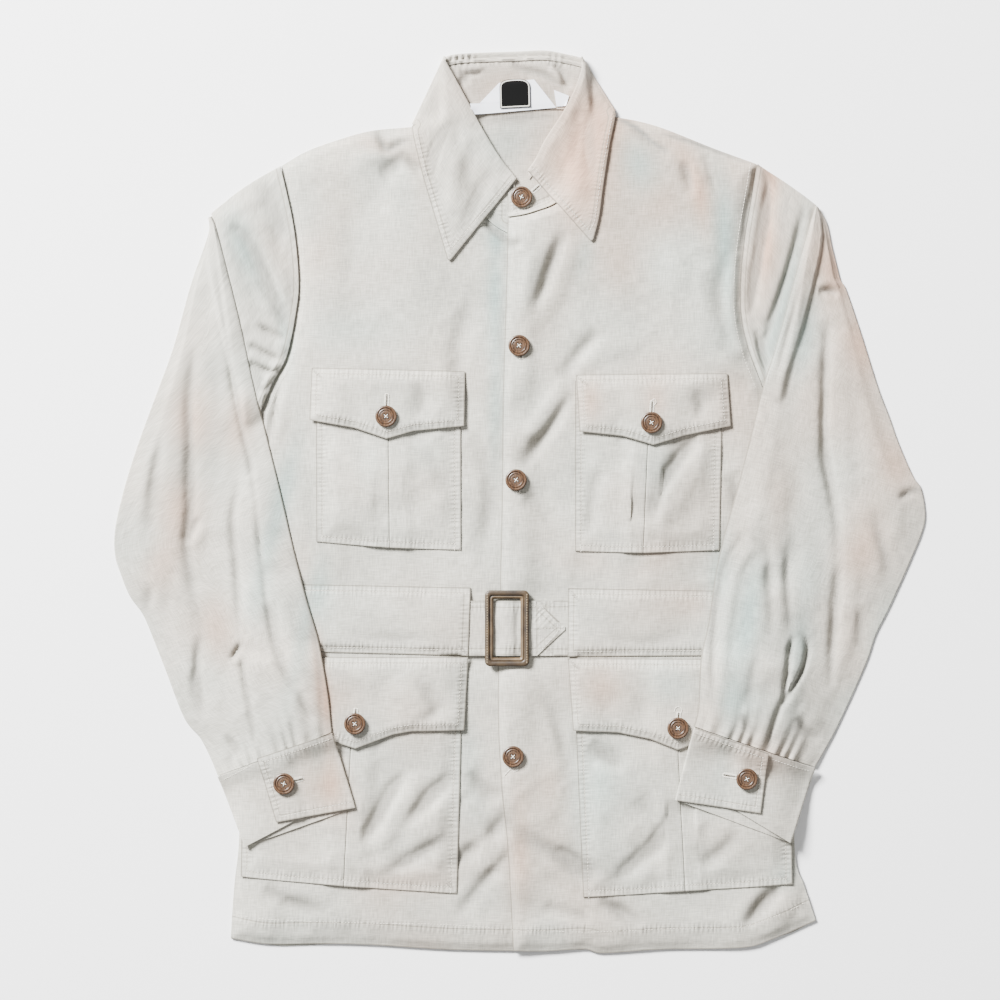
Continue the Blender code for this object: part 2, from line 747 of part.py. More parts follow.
def make_flaps():
    for name, x1, y1, x2, y2, edge in FLAPS:
        left, right = at(x1, y1), at(x2, y2)
        low_edge = []
        for start, end in zip(edge, edge[1:]):
            low_edge += [at(*start).lerp(at(*end), share) for share in (0.0, 0.5)]
        low_edge.append(at(*edge[-1]))
        top = []
        width = low_edge[-1].x - low_edge[0].x
        for point in low_edge:
            top.append(left.lerp(right, (point.x - low_edge[0].x) / width))
        plan = [[a.lerp(b, v) for v in even(FLAP_ROWS)] for a, b in zip(top, low_edge)]
        side = "left" if "left" in name else "right"
        under = ["front_" + side, name.replace("flap", "pocket"), "waist_casing_" + side]
        add_sheet(name, lay(plan, under))


def make_casings():
    for name, *values in CASINGS:
        tl, tr, bl, br = [at(*values[k:k + 2]) for k in range(0, 8, 2)]
        plan = quad_plan([tl, bl, br, tr], CASING_ACROSS, CASING_ROWS)
        front = "front_left" if "left" in name else "front_right"
        add_sheet(name, lay(plan, [front, "belt in " + name]))


def rounded_ring(half_wide, half_high, radius, height, steps=3):
    ring = []
    for corner, (sx, sy) in enumerate(((1, 1), (-1, 1), (-1, -1), (1, -1))):
        for step in range(steps + 1):
            turn = math.radians(90) * (corner + step / steps)
            ring.append(Vector((
                sx * (half_wide - radius) + radius * math.cos(turn),
                sy * (half_high - radius) + radius * math.sin(turn),
                height,
            )))
    return ring


def make_belt_and_buckle():
    centre = at(BUCKLE_X, BELT_MIDDLE)
    deck = Ground(["front_left", "front_right"]).height(centre.x, centre.y, BUCKLE_WIDTH)
    bar_half = CENTRE_BAR_WIDTH / 2
    bar_left, bar_right = centre.x - bar_half, centre.x + bar_half
    bar_low = deck + PITCH + GAP
    bar_high = bar_low + CENTRE_BAR_DEPTH
    bar_middle = (bar_low + bar_high) / 2
    wrap = CENTRE_BAR_DEPTH / 2 + GAP + LOW
    lower = deck + GAP + LOW
    upper = lower + PITCH
    crest = bar_middle + wrap + PITCH

    def strip(path):
        """Columns along the belt. Columns of path: x, height, share of the full width"""
        columns = []
        for x, height, share in path:
            half = BELT_WIDTH / 2 * share
            columns.append([Vector((x, centre.y + half * side, height)) for side in (1, 0.5, 0, -0.5, -1)])
        return columns

    fixed = [(at(x, 0).x, lower, 1) for x in (FIXED_END, FIXED_CLEAR)]
    fixed += [(bar_right, lower, 1), (bar_left, lower, 1)]
    for angle in (-60, -30, 0, 30, 60):
        turn = math.radians(angle)
        fixed.append((bar_left - wrap * math.cos(turn), bar_middle + wrap * math.sin(turn), 1))
    fixed += [(bar_left, bar_middle + wrap, 1), (bar_right + WALL, bar_middle + wrap, 1)]
    free = [(at(x, 0).x, lower, 1) for x in (FREE_START, FREE_CASING_MOUTH, FREE_UNDER_BAR)]
    free += [(centre.x + x * MM, lower + (crest - lower) * share, 1) for x, share in FREE_CLIMB]
    free += [(bar_right + 3 * WALL, (2 * crest + upper) / 3, 1), (bar_right + 7 * WALL, upper, 1)]
    free += [(at(FREE_POINT_BASE, 0).x, upper, 1), (at(FREE_POINT_MIDDLE, 0).x, upper, 0.52)]
    free.append((at(FREE_TIP, 0).x, upper, 0.06))
    add_sheet("belt_fixed_end", strip(fixed))
    add_sheet("belt_free_end", strip(free))
    SOLIDS["belt in waist_casing_left"] = wall(strip(free[:2]))
    SOLIDS["belt in waist_casing_right"] = wall(strip(fixed[:2]))

    wide, high = BUCKLE_WIDTH / 2, BUCKLE_HEIGHT / 2
    rings = []
    for inset, share in BUCKLE_PROFILE:
        inset *= MM
        height = deck + BUCKLE_CLEARANCE + BUCKLE_DEPTH * share
        ring = rounded_ring(wide - inset, high - inset, BUCKLE_CORNER - 0.3 * inset, height)
        rings.append([point + flat(centre) for point in ring])
    count = len(rings[0])
    points = [point for ring in rings for point in ring]
    faces = []
    for i in range(len(rings)):
        k = (i + 1) % len(rings)
        for j in range(count):
            m = (j + 1) % count
            faces.append([i * count + j, i * count + m, k * count + m, k * count + j])
    buckle = add_object("buckle", points, faces, LEATHER)
    bar_long = high - BUCKLE_BAR / 2
    corners = []
    for z in (bar_low, bar_high):
        for x, y in ((-1, -1), (1, -1), (1, 1), (-1, 1)):
            corners.append(Vector((centre.x + x * bar_half, centre.y + y * bar_long, z)))
    bar = add_object("centre_bar", corners, BOX_FACES, LEATHER, smooth=False)
    bar.hide_render = True
    bar.display_type = "WIRE"
    union = buckle.modifiers.new("centre bar", "BOOLEAN")
    union.operation = "UNION"
    union.object = bar


def sideways(inner, outer):
    """Unit vectors from the inner edge out to the outer one."""
    return [(b - a).normalized() for a, b in zip(inner, outer)]


def make_sleeve(side, inner_table, outer_table, armhole, head_top, head_tuck):
    sleeve_folds = folds(SLEEVE_FOLDS)
    under = ["back_panel", "front_" + side, "chest_pocket_" + side, "chest_flap_" + side,
             "waist_casing_" + side, "hip_pocket_" + side, "hip_flap_" + side]
    inner, outer = along(inner_table, ARM_SECTIONS), along(outer_table, ARM_SECTIONS)
    outwards = sideways(inner, outer)
    outer_in = [point - out * EDGE_REACH for point, out in zip(outer, outwards)]
    lower_plan = between(inner, outer_in, even(ARM_UNDER))
    lower = lay(lower_plan, under)
    SOLIDS["arm under"] = wall(lower)

    names = ["arm under"]
    seam = along(armhole, HEAD_SECTIONS)
    shift = Vector((-SEAM if side == "left" else SEAM, 0))
    seam = [point + shift for point in seam]
    tuck = along(head_tuck, HEAD_SECTIONS)
    rows = even(HEAD_ROWS)
    armpit = [seam[0].lerp(tuck[0], v) for v in rows]
    last = HEAD_ROWS - 1
    top_edge = along(head_top, last)
    top_edge = [top_edge[0] + shift] + top_edge[1:]
    inset = []
    for index in range(HEAD_ROWS):
        after = top_edge[min(index + 1, last)] - top_edge[max(index - 1, 0)]
        out = Vector((after.y, -after.x)).normalized()
        inset.append(out if side == "left" else -out)
    inset[0] = (seam[-1] - seam[-2]).normalized()
    closed = [point - out * EDGE_REACH for point, out in zip(top_edge, inset)]
    seam[-1], tuck[-1] = closed[0], closed[-1]
    plan = [list(row) for row in zip(*patch(seam, tuck, armpit, closed))]
    head_under = lay(plan, names)
    SOLIDS["head under"] = wall(head_under)
    head_over = lay(plan, names + ["head under"])
    outs = [flat(out) for out in inset]
    turned = turn_columns(head_under[-1], head_over[-1], outs, [EDGE_REACH] * HEAD_ROWS)
    add_sheet("sleeve_head_" + side, head_under + turned + head_over[::-1])

    upper_plan = between(inner, outer_in, even(ARM_TOP))

    def lift(point, i, j):
        across = i / (ARM_TOP - 1)
        dome = math.sin(math.pi * min(1.0, across * 1.15 + 0.02)) ** 0.6
        crown = SLEEVE_CROWN * dome * min(1.0, j / 3)
        edge = SLEEVE_EDGE_RISE * across ** 6
        near_cuff = max(0.0, 1 - (ARM_SECTIONS - j) / ARM_CUFF_SECTIONS)
        gather = GATHER_HEIGHT * near_cuff * (i % 2)
        fade = min(1.0, 4 * across, 4 - 4 * across)
        return crown + edge + gather + sleeve_folds(point) * fade

    upper = lay(upper_plan, names + under + ["sleeve_head_" + side], lift)
    outs = [flat(out) for out in outwards]
    turned = turn_columns(upper[-1], lower[-1], outs, [EDGE_REACH] * len(inner))
    add_sheet("sleeve_" + side, upper + turned + lower[::-1])


def make_cuff(side, lines):
    body = ["back_panel", "front_" + side, "hip_pocket_" + side, "hip_flap_" + side]
    rows = even(CUFF_ROWS)

    def line(name):
        x1, y1, x2, y2 = lines[name]
        return [at(x1, y1).lerp(at(x2, y2), v) for v in rows]

    lap, inner, outer, tongue = (line(name) for name in ("lap", "inner", "outer", "tongue"))
    outwards = sideways(inner, outer)
    inner_in = [point + out * EDGE_REACH for point, out in zip(inner, outwards)]
    outer_in = [point - out * EDGE_REACH for point, out in zip(outer, outwards)]
    bottom = lay(between(inner_in, outer_in, even(CUFF_BOTTOM)), body)
    SOLIDS["cuff under"] = wall(bottom)

    def puff(point, i, j):
        return CUFF_PUFF

    tongue_layer = lay(between(outer_in, tongue, even(CUFF_TONGUE)), body + ["cuff under"], puff)
    SOLIDS["cuff tongue"] = wall(tongue_layer)
    top = lay(between(lap, inner_in, even(CUFF_TOP)), body + ["cuff under", "cuff tongue"])
    reach = [EDGE_REACH] * len(rows)
    columns = top + turn_columns(top[-1], bottom[0], [flat(-out) for out in outwards], reach)
    columns += bottom + turn_columns(bottom[-1], tongue_layer[0], [flat(out) for out in outwards], reach)
    add_sheet("cuff_" + side, columns + tongue_layer)


def button_mesh():
    """Points and faces of a turned disc with a raised rim and a dished middle."""
    radius = BUTTON_DIAMETER / 2
    sides = BUTTON_SIDES
    points = [Vector((0, 0, 0))]
    for share, height in BUTTON_PROFILE[1:-1]:
        for step in range(sides):
            turn = math.tau * step / sides
            points.append(Vector((
                radius * share * math.cos(turn),
                radius * share * math.sin(turn),
                BUTTON_DEPTH * height,
            )))
    points.append(Vector((0, 0, BUTTON_DEPTH * BUTTON_PROFILE[-1][1])))
    rings = len(BUTTON_PROFILE) - 2
    faces = []
    for step in range(sides):
        after = (step + 1) % sides
        faces.append([0, 1 + after, 1 + step])
        for ring in range(rings - 1):
            first = 1 + ring * sides
            faces.append([first + step, first + after, first + sides + after, first + sides + step])
        last = 1 + (rings - 1) * sides
        faces.append([last + step, last + after, len(points) - 1])
    return points, faces


def hole_mesh():
    """Four square pegs that cut the thread holes."""
    points, faces = [], []
    spread, half = THREAD_HOLE_SPREAD, THREAD_HOLE / 2
    for x, y in ((1, 1), (-1, 1), (-1, -1), (1, -1)):
        first = len(points)
        for z in (-BUTTON_DEPTH, 2 * BUTTON_DEPTH):
            for dx, dy in ((-1, -1), (1, -1), (1, 1), (-1, 1)):
                points.append(Vector((x * spread + dx * half, y * spread + dy * half, z)))
        for face in BOX_FACES:
            faces.append([first + corner for corner in face])
    return points, faces


def make_buttons():
    ground = Ground(list(node.name for node in bpy.data.objects if node.name in SOLIDS))
    disc, holes = button_mesh(), hole_mesh()
    for name, x, y in BUTTONS:
        spot = at(x, y)
        level = ground.height(spot.x, spot.y, BUTTON_DIAMETER / 2) + GAP
        button = add_object(name, *disc, BUTTON_BROWN)
        cutter = add_object("holes_" + name, *holes, BUTTON_BROWN, smooth=False)
        for item in (button, cutter):
            item.location = (spot.x, spot.y, level)
        cutter.hide_render = True
        cutter.display_type = "WIRE"
        cut = button.modifiers.new("thread holes", "BOOLEAN")
        cut.operation = "DIFFERENCE"
        cut.object = cutter


def main():
    clear_scene()
    under = make_leaf_under()
    make_back()
    make_fronts_and_band()
    make_leaf(under)
    make_labels()
    make_belt_and_buckle()
    make_casings()
    make_pockets()
    make_flaps()
    make_sleeve("left", ARM_INNER_LEFT, ARM_OUTER_LEFT, ARMHOLE_LEFT, HEAD_TOP_LEFT, HEAD_TUCK_LEFT)
    make_sleeve("right", ARM_INNER_RIGHT, ARM_OUTER_RIGHT, ARMHOLE_RIGHT, HEAD_TOP_RIGHT, HEAD_TUCK_RIGHT)
    make_cuff("left", CUFF_LEFT)
    make_cuff("right", CUFF_RIGHT)
    make_buttons()


main()
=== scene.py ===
"""Safari jacket laid flat on its back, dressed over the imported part. Metres, +Z up.

Places are pixels of the photograph, as in the part's source, and solid_points() turns
them into metres. Heights are in millimetres. Left and right are as seen from above.
Each piece of cloth is a grid of middle points that is laid on what lies under it and
then thickened. TOP keeps how high the pieces reach so far.
"""

import math

import bmesh
import bpy
import numpy as np
from bpy.props import FloatProperty, FloatVectorProperty, PointerProperty
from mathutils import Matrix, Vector
from mathutils.bvhtree import BVHTree


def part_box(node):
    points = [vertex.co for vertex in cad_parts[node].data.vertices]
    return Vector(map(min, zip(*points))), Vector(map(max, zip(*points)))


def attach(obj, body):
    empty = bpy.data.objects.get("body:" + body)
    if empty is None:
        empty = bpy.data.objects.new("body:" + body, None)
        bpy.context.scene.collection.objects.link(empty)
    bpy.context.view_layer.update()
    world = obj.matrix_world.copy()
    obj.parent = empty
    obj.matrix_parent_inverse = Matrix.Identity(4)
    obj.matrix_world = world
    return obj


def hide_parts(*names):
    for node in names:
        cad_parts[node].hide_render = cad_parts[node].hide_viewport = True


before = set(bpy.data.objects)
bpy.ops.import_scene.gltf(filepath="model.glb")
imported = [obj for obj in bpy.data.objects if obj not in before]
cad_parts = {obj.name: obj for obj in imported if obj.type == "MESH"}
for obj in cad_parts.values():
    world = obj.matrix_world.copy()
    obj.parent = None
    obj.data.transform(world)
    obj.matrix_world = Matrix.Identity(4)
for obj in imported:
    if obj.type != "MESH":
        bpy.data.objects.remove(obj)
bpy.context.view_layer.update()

bl_info = {
    "name": "Safari jacket",
    "version": (1, 0, 0),
    "blender": (4, 5, 0),
    "location": "View3D > Sidebar > Jacket",
    "description": "Builds the cloth, buttons and buckle of a safari jacket over its solids",
    "category": "Object",
}

# Sizes
MM = 0.001
PIXEL = 0.476 / 501
MIDDLE_X = 520.05
MIDDLE_Y = 501.66
FIELD = 1000
CAMERA_PIXEL = (500, 500)
FRAME_PIXELS = 1000
WALL = 0.75
GAP = 0.25
SOLID_WALL = 1.0
SOLID_STEP = 4
FOLD_HEIGHT = 4.0
FOLD_WIDTH = 0.95
HIGHEST_FOLD = 4.0
SHADED_DEPTH = 4.5
MOST_TINT = 0.8
FRONT_LOFT = 2.9
FRONT_MARGIN = 15.0
NO_EDGE = 60.0
HEAD_DOME = 1.6
PLEAT_DEPTH = 11.0
EDGE_REACH = 1.4
SIDE_REACH = 2.8
BAND_BELOW_ROLL = 7.8
COLLAR_BELOW_ROLL = 9.4

# Grid spacing in pixels
BODY_SPACING = 2.9
FINE_SPACING = 1.9
SLEEVE_SPACING = 2.3

# Edges of the fronts and the back, from the hem up. Columns: x, y
SIDE_LEFT = [(230.5, 938.6), (234, 887), (239, 837), (240, 740), (242, 640), (249, 530), (261, 412)]
SIDE_RIGHT = [(816, 921), (804, 885), (795, 852), (794, 740), (790, 640), (779, 510), (762, 386)]
ARMHOLE_LEFT = [(261, 412), (273, 383), (287, 356), (296, 314), (299, 280), (294, 226), (281, 166)]
ARMHOLE_RIGHT = [(762, 386), (748, 348), (741, 314), (741, 275), (745, 235), (751, 200), (757, 164)]
SHOULDER_LEFT = [(281, 166), (306, 151.5), (339, 139.5), (373, 130.5), (414, 126.5), (447, 118)]
SHOULDER_RIGHT = [(757, 164), (716, 149), (666, 129.5), (637, 121), (615, 117), (588, 113)]
PLACKET_UNDER = [(534, 951.6), (534, 700), (535, 420), (534, 235)]
PLACKET_TOP = [(513, 951), (508, 853), (501, 780), (498, 700), (500, 590), (502, 500),
               (503, 400), (506, 300), (508, 217.5)]
HEM_LEFT = [(230.5, 938.6), (268, 944.4), (320, 944), (373, 945.3), (450, 950), (534, 951.6)]
HEM_RIGHT = [(513, 951), (545, 951.5), (584, 949.5), (601, 953.5), (640, 951), (668, 949.5),
             (742, 948), (774, 939), (816, 921)]
HEM_BACK = [(230.5, 938.6), (275, 946), (300, 946), (373, 944), (520, 950), (668, 948),
            (774, 938), (816, 921)]

# Collar sections from the left point round the back of the neck to the right point.
# Columns: which layer of the flattened collar, seam x, y, roll line x, y, outer edge x, y
COLLAR = [
    ("left", 507, 233, 516, 178, 448.4, 263.2),
    ("left", 487, 219, 499, 156, 440.5, 236),
    ("left", 467, 191, 482, 128, 431.5, 206),
    ("left", 455, 163, 468, 102, 423, 177),
    ("left", 449, 141, 456, 80, 417, 153),
    ("left", 447, 128, 448, 66, 413.5, 137),
    ("left fold", 447, 118, 443, 57.5, 412, 125),
    ("back", 462, 116.5, 457, 54, 432, 131),
    ("back", 487, 113.5, 485, 52.5, 472, 134),
    ("back", 515, 111.3, 515, 51.5, 515, 136),
    ("back", 545, 109.7, 545, 50.5, 558, 133),
    ("back", 571, 110, 568, 54.5, 594, 124),
    ("right fold", 588, 113, 583, 58, 616, 112),
    ("right", 588, 124, 581, 72, 613, 127),
    ("right", 587, 140, 572, 96, 609, 146),
    ("right", 583, 160, 560, 117, 605.5, 168),
    ("right", 573, 183, 545, 140, 602, 192),
    ("right", 556, 203, 536, 158, 598.5, 218),
    ("right", 534, 212, 528, 170, 592, 243.4),
]
# The band past the collar at both fronts. Columns: seam x, y, top x, y
BAND_END_LEFT = [(534, 235, 534, 207), (521, 236, 521, 190)]
BAND_END_RIGHT = [(521, 215.5, 519, 181), (508, 217.5, 508, 192)]

# Sleeves from the shoulder to the cuff. Columns: x, y
ARM_INNER_LEFT = [(211.5, 217), (215.5, 225), (223, 252), (232, 287), (242, 329), (253, 381), (265, 430),
                  (277.5, 480),
                  (294, 550), (307, 600), (319, 641), (328, 690), (332.6, 731)]
ARM_OUTER_LEFT = [(208.5, 217), (209, 232), (200, 258), (190, 287), (173, 348), (154, 400), (139, 441),
                  (127, 478),
                  (117, 517), (114, 540), (115, 556), (118, 567), (129, 595), (143, 615),
                  (154, 641), (165, 669), (184, 718), (200, 738), (210, 757), (218, 776)]
ARM_INNER_RIGHT = [(815, 206), (806, 236), (796, 272), (784, 318), (772, 359), (763, 387), (740, 478),
                   (719, 556), (708, 624), (700, 661), (697.5, 707), (693, 725)]
ARM_OUTER_RIGHT = [(818, 207), (827, 223), (832, 246), (837, 266), (841, 281), (846, 289), (861, 333),
                   (878, 387),
                   (889, 416), (899, 444), (913, 476), (921.5, 489), (925.6, 515), (922, 533),
                   (911, 560), (900, 585), (888, 611), (876, 635), (866, 664), (840, 722),
                   (825, 750), (815, 767)]
HEAD_TOP_LEFT = [(281, 166), (262, 176), (240, 190), (226, 201), (215, 210), (211, 214)]
HEAD_TUCK_LEFT = [(247, 420), (238, 381), (226, 332), (216, 290), (209, 245), (211, 214)]
HEAD_TOP_RIGHT = [(757, 164), (782, 180), (802, 194), (811, 201), (816, 205)]
HEAD_TUCK_RIGHT = [(778, 396), (787, 363), (800, 322), (811, 278), (818, 240), (816, 205)]

# Cuffs. Columns: at the sleeve seam x, y, at the lower edge x, y
CUFFS = {
    "left": {
        "lap": (258, 757, 277, 821),
        "inner": (333, 732, 355.7, 806.3),
        "outer": (218, 776.5, 245.6, 845.6),
        "tongue": (286, 751.4, 302, 816),
    },
    "right": {
        "lap": (767, 752, 759.5, 812),
        "inner": (693, 726, 675, 799),
        "outer": (815, 768, 790, 842),
        "tongue": (741, 744, 735, 809),
    },
}

# Pocket bags. Columns: x, y of the top left, top right, bottom left and bottom right
# corners, then of the pleat's top and bottom
POCKETS = {
    "chest_pocket_left": (316.3, 376, 460.5, 378, 316.6, 541.6, 460.9, 549.9, 388, 377, 389.8, 547.6),
    "chest_pocket_right": (575, 381, 722, 380, 575, 551, 719, 550, 650, 381, 643, 552.7),
    "hip_pocket_left": (244.5, 662, 463, 662, 241, 876.4, 456.8, 893, 355.5, 662, 344, 885.5),
    "hip_pocket_right": (573, 664, 789, 664, 583, 896.6, 792, 883.7, 673, 664, 685, 890.5),
}
# Flaps. Columns: x, y of the top left and top right corners, then the lower edge's corners
FLAPS = {
    "chest_flap_left": ((312, 368), (465, 371.5),
                        [(310, 420), (355, 428), (386.6, 438.8), (414, 431), (464, 426)]),
    "chest_flap_right": ((576, 375), (727, 373.5),
                         [(579.4, 431.4), (622, 436), (652.7, 445), (684, 435.5), (730, 426)]),
    "hip_flap_left": ((244.5, 657), (468, 656.8),
                      [(243.5, 722), (300, 730), (355.5, 747.7), (393.4, 733.5), (410.6, 730.4),
                       (464, 729.6)]),
    "hip_flap_right": ((567.7, 658), (788, 659),
                       [(573, 730), (617, 731.5), (649.5, 738), (677, 748.8), (712, 736), (790, 729)]),
}
# Waist casings. Columns: x, y of the top left, top right, bottom left, bottom right corners
CASINGS = {
    "waist_casing_left": (247, 583, 470.5, 587.5, 244, 650, 468, 655.4),
    "waist_casing_right": (568, 588, 784, 592, 567.5, 656.2, 788, 655),
}
# Buttons. Columns: x, y, how far the threads are turned in degrees
BUTTONS = {
    "button_neck": (521.5, 197, 20),
    "button_front_1": (519, 346, -8),
    "button_front_2": (516, 480, 12),
    "button_front_3": (513, 756, -5),
    "button_chest_left": (386.6, 416.7, 5),
    "button_chest_right": (650.7, 423, -12),
    "button_hip_left": (355.5, 722.7, 8),
    "button_hip_right": (677, 727, -4),
    "button_cuff_left": (284.9, 782.4, 30),
    "button_cuff_right": (745.7, 777.7, -20),
}
# Buttonholes. Columns: x, y of both ends of the slot
BUTTONHOLES = [
    (521, 359, 521, 351), (518, 493, 518, 484), (515, 768, 515, 760),
    (533, 191, 539.5, 185.5),
    (387.5, 395, 387, 407), (651.5, 402, 651, 413),
    (356.5, 708, 356, 714), (678, 712, 677.5, 718),
    (294, 780, 303.8, 777.5), (736, 776, 723, 773.8),
]

# Loose ends of white thread at the buttonholes
LOOSE_ENDS = [
    [(517, 765), (518, 769), (514, 771), (511, 768.5), (508, 771), (504.5, 775)],
    [(673.5, 711), (675, 707), (678, 706), (681, 708.5), (680, 713)],
    [(651, 401), (654, 399.5), (655.5, 403), (653, 406)],
]

# Neck labels. Columns: x, y of the corners from the bottom left, clockwise
BACKING_CORNERS = [(475, 114.5), (499, 83), (534, 79.5), (556, 107.5)]
LABEL_CORNERS = [(500, 108.5), (499.5, 87), (530, 86.5), (530.5, 107)]
CARE_CORNERS = [(556.5, 106.5), (554, 90), (569, 96), (566, 106)]

# The belt and the buckle
BELT_MIDDLE = 628
BELT_WIDTH = 52
BUCKLE_X = 507

# Soft folds. Columns: height, half width in px on the left and on the right of the line's
# way, then x, y of each point of the line. Ridges are above zero and troughs below. The
# heights are multiplied by FOLD_HEIGHT to give mm
BODY_FOLDS = [
    (1.4, 10, 7, 545, 236, 533, 270, 520, 318),
    (-1.4, 8, 8, 566, 228, 556, 252, 546, 278, 536, 310),
    (1.2, 9, 9, 575, 235, 556, 290, 530, 335),
    (-1.2, 10, 8, 600, 330, 580, 355, 560, 378),
    (1.4, 8, 10, 640, 345, 600, 352, 572, 374),
    (-1.6, 6, 9, 572, 392, 548, 430, 521, 470),
    (1.5, 10, 6, 566, 380, 545, 412, 526, 440),
    (-1.2, 7, 7, 519, 488, 545, 520, 566, 556),
    (1.1, 8, 8, 528, 500, 556, 545, 570, 585),
    (-2.0, 3, 5, 483, 222, 496, 230, 508, 240, 522, 246),
    (1.2, 4, 4, 490, 216, 504, 226, 518, 238),
    (-1.4, 3, 4, 478, 121, 520, 118, 566, 115),
    (-1.2, 8, 8, 407, 151, 395, 165, 380, 176),
    (-1.1, 4, 5, 406, 158, 413, 165, 424, 173),
    (0.9, 7, 7, 381, 150, 365, 158, 350, 160),
    (1.0, 10, 12, 392, 180, 400, 240, 420, 300),
    (0.8, 12, 12, 330, 200, 336, 270, 326, 340),
    (-0.8, 10, 10, 470, 300, 455, 360, 470, 420),
    (-0.9, 9, 9, 478, 430, 490, 500, 478, 560),
    (0.9, 12, 10, 640, 150, 664, 210, 682, 290),
    (-1.2, 8, 8, 682, 160, 688, 176, 694, 194),
    (1.1, 7, 9, 700, 160, 708, 200, 714, 250),
    (-1.1, 10, 10, 726, 250, 722, 300, 733, 352),
    (1.2, 9, 9, 738, 250, 731, 300, 742, 360),
    (-1.8, 7, 9, 697, 436, 668, 475, 655, 498, 646, 524),
    (1.5, 9, 7, 710, 445, 684, 480, 664, 520),
    (-0.9, 8, 8, 600, 470, 592, 500, 588, 536),
    (0.7, 9, 9, 350, 455, 362, 490, 356, 525),
    (-0.7, 8, 9, 420, 450, 436, 470, 448, 500),
    (-1.1, 8, 8, 730, 470, 742, 520, 735, 566),
    (0.9, 9, 9, 295, 470, 302, 520, 296, 566),
    (-1.3, 8, 8, 470, 770, 485, 790, 500, 800),
    (1.4, 8, 10, 465, 800, 482, 836, 500, 872),
    (-1.4, 8, 8, 555, 850, 572, 866, 592, 880),
    (0.8, 8, 8, 530, 690, 548, 730, 560, 780),
    (-0.9, 8, 8, 540, 690, 556, 726, 570, 770),
    (-1.6, 8, 8, 598, 900, 620, 912, 642, 926),
    (1.3, 9, 9, 520, 880, 560, 905, 590, 940),
    (-2.1, 7, 8, 780, 887, 762, 905, 744, 926),
    (1.6, 8, 8, 795, 893, 782, 912, 768, 936),
    (-1.3, 8, 8, 262, 890, 300, 905, 330, 912),
    (-1.2, 3, 4, 281, 378, 275, 408, 268, 446),
    (0.8, 4, 4, 288, 380, 283, 410, 277, 446),
    (-1.4, 8, 7, 404, 772, 385, 805, 360, 845),
    (1.4, 8, 8, 418, 778, 398, 815, 376, 852),
    (-1.4, 8, 8, 460, 768, 432, 796, 402, 824),
    (1.3, 8, 8, 462, 788, 438, 816, 410, 842),
    (-1.3, 8, 8, 456, 830, 420, 854, 378, 878),
    (-0.7, 7, 7, 450, 700, 430, 716, 404, 722),
    (-1.2, 9, 8, 516, 806, 490, 834, 458, 858, 436, 872),
    (1.3, 7, 7, 512, 842, 492, 856, 470, 872),
    (-1.2, 8, 7, 510, 842, 486, 880, 462, 908, 448, 926),
    (-1.4, 9, 8, 590, 742, 606, 757, 624, 770),
    (1.3, 8, 8, 596, 762, 616, 782, 640, 800),
    (-1.2, 9, 8, 684, 800, 660, 838, 632, 864, 604, 890),
    (-1.1, 8, 8, 740, 830, 720, 852, 700, 866),
    (-1.2, 9, 9, 508, 822, 540, 846, 580, 862, 612, 882),
    (-1.6, 8, 8, 545, 902, 566, 912, 590, 922),
    (-1.2, 4, 5, 374, 128, 381, 141, 387, 149, 398, 144, 411, 138),
    (1.0, 6, 6, 388, 137, 398, 133, 410, 130),
    (-1.4, 3, 6, 615, 117, 637, 128, 654, 144, 672, 153),
    (1.0, 6, 6, 630, 117, 652, 130, 670, 142),
    (-1.0, 3, 4, 648, 134, 672, 136, 702, 145, 750, 162),
    (-0.9, 5, 6, 704, 154, 709, 176, 716, 198),
    (0.9, 6, 6, 694, 152, 698, 176, 702, 200),
    (-0.8, 4, 4, 752, 185, 746, 225, 743, 270),
    (0.6, 10, 10, 330, 600, 390, 612, 450, 606),
    (-1.0, 2, 2, 494, 590, 497.5, 612, 497.5, 642, 494, 666),
    (-1.0, 2, 2, 519, 590, 515.5, 612, 515.5, 642, 519, 666),
    (-0.6, 8, 8, 340, 634, 400, 640, 455, 634),
    (0.6, 10, 10, 590, 612, 640, 606, 690, 614),
    (-0.6, 8, 8, 600, 636, 650, 642, 690, 634),
    (0.7, 8, 8, 330, 385, 340, 400, 336, 418),
    (-0.6, 7, 7, 415, 385, 424, 400, 420, 420),
    (0.8, 7, 7, 600, 390, 612, 408, 606, 428),
    (-0.8, 7, 7, 690, 385, 700, 402, 698, 420),
    (0.8, 9, 9, 300, 670, 312, 694, 304, 720),
    (-0.8, 8, 8, 410, 672, 430, 694, 436, 718),
    (0.8, 9, 9, 610, 675, 626, 696, 620, 724),
    (-0.7, 8, 8, 725, 672, 735, 694, 744, 718),
]
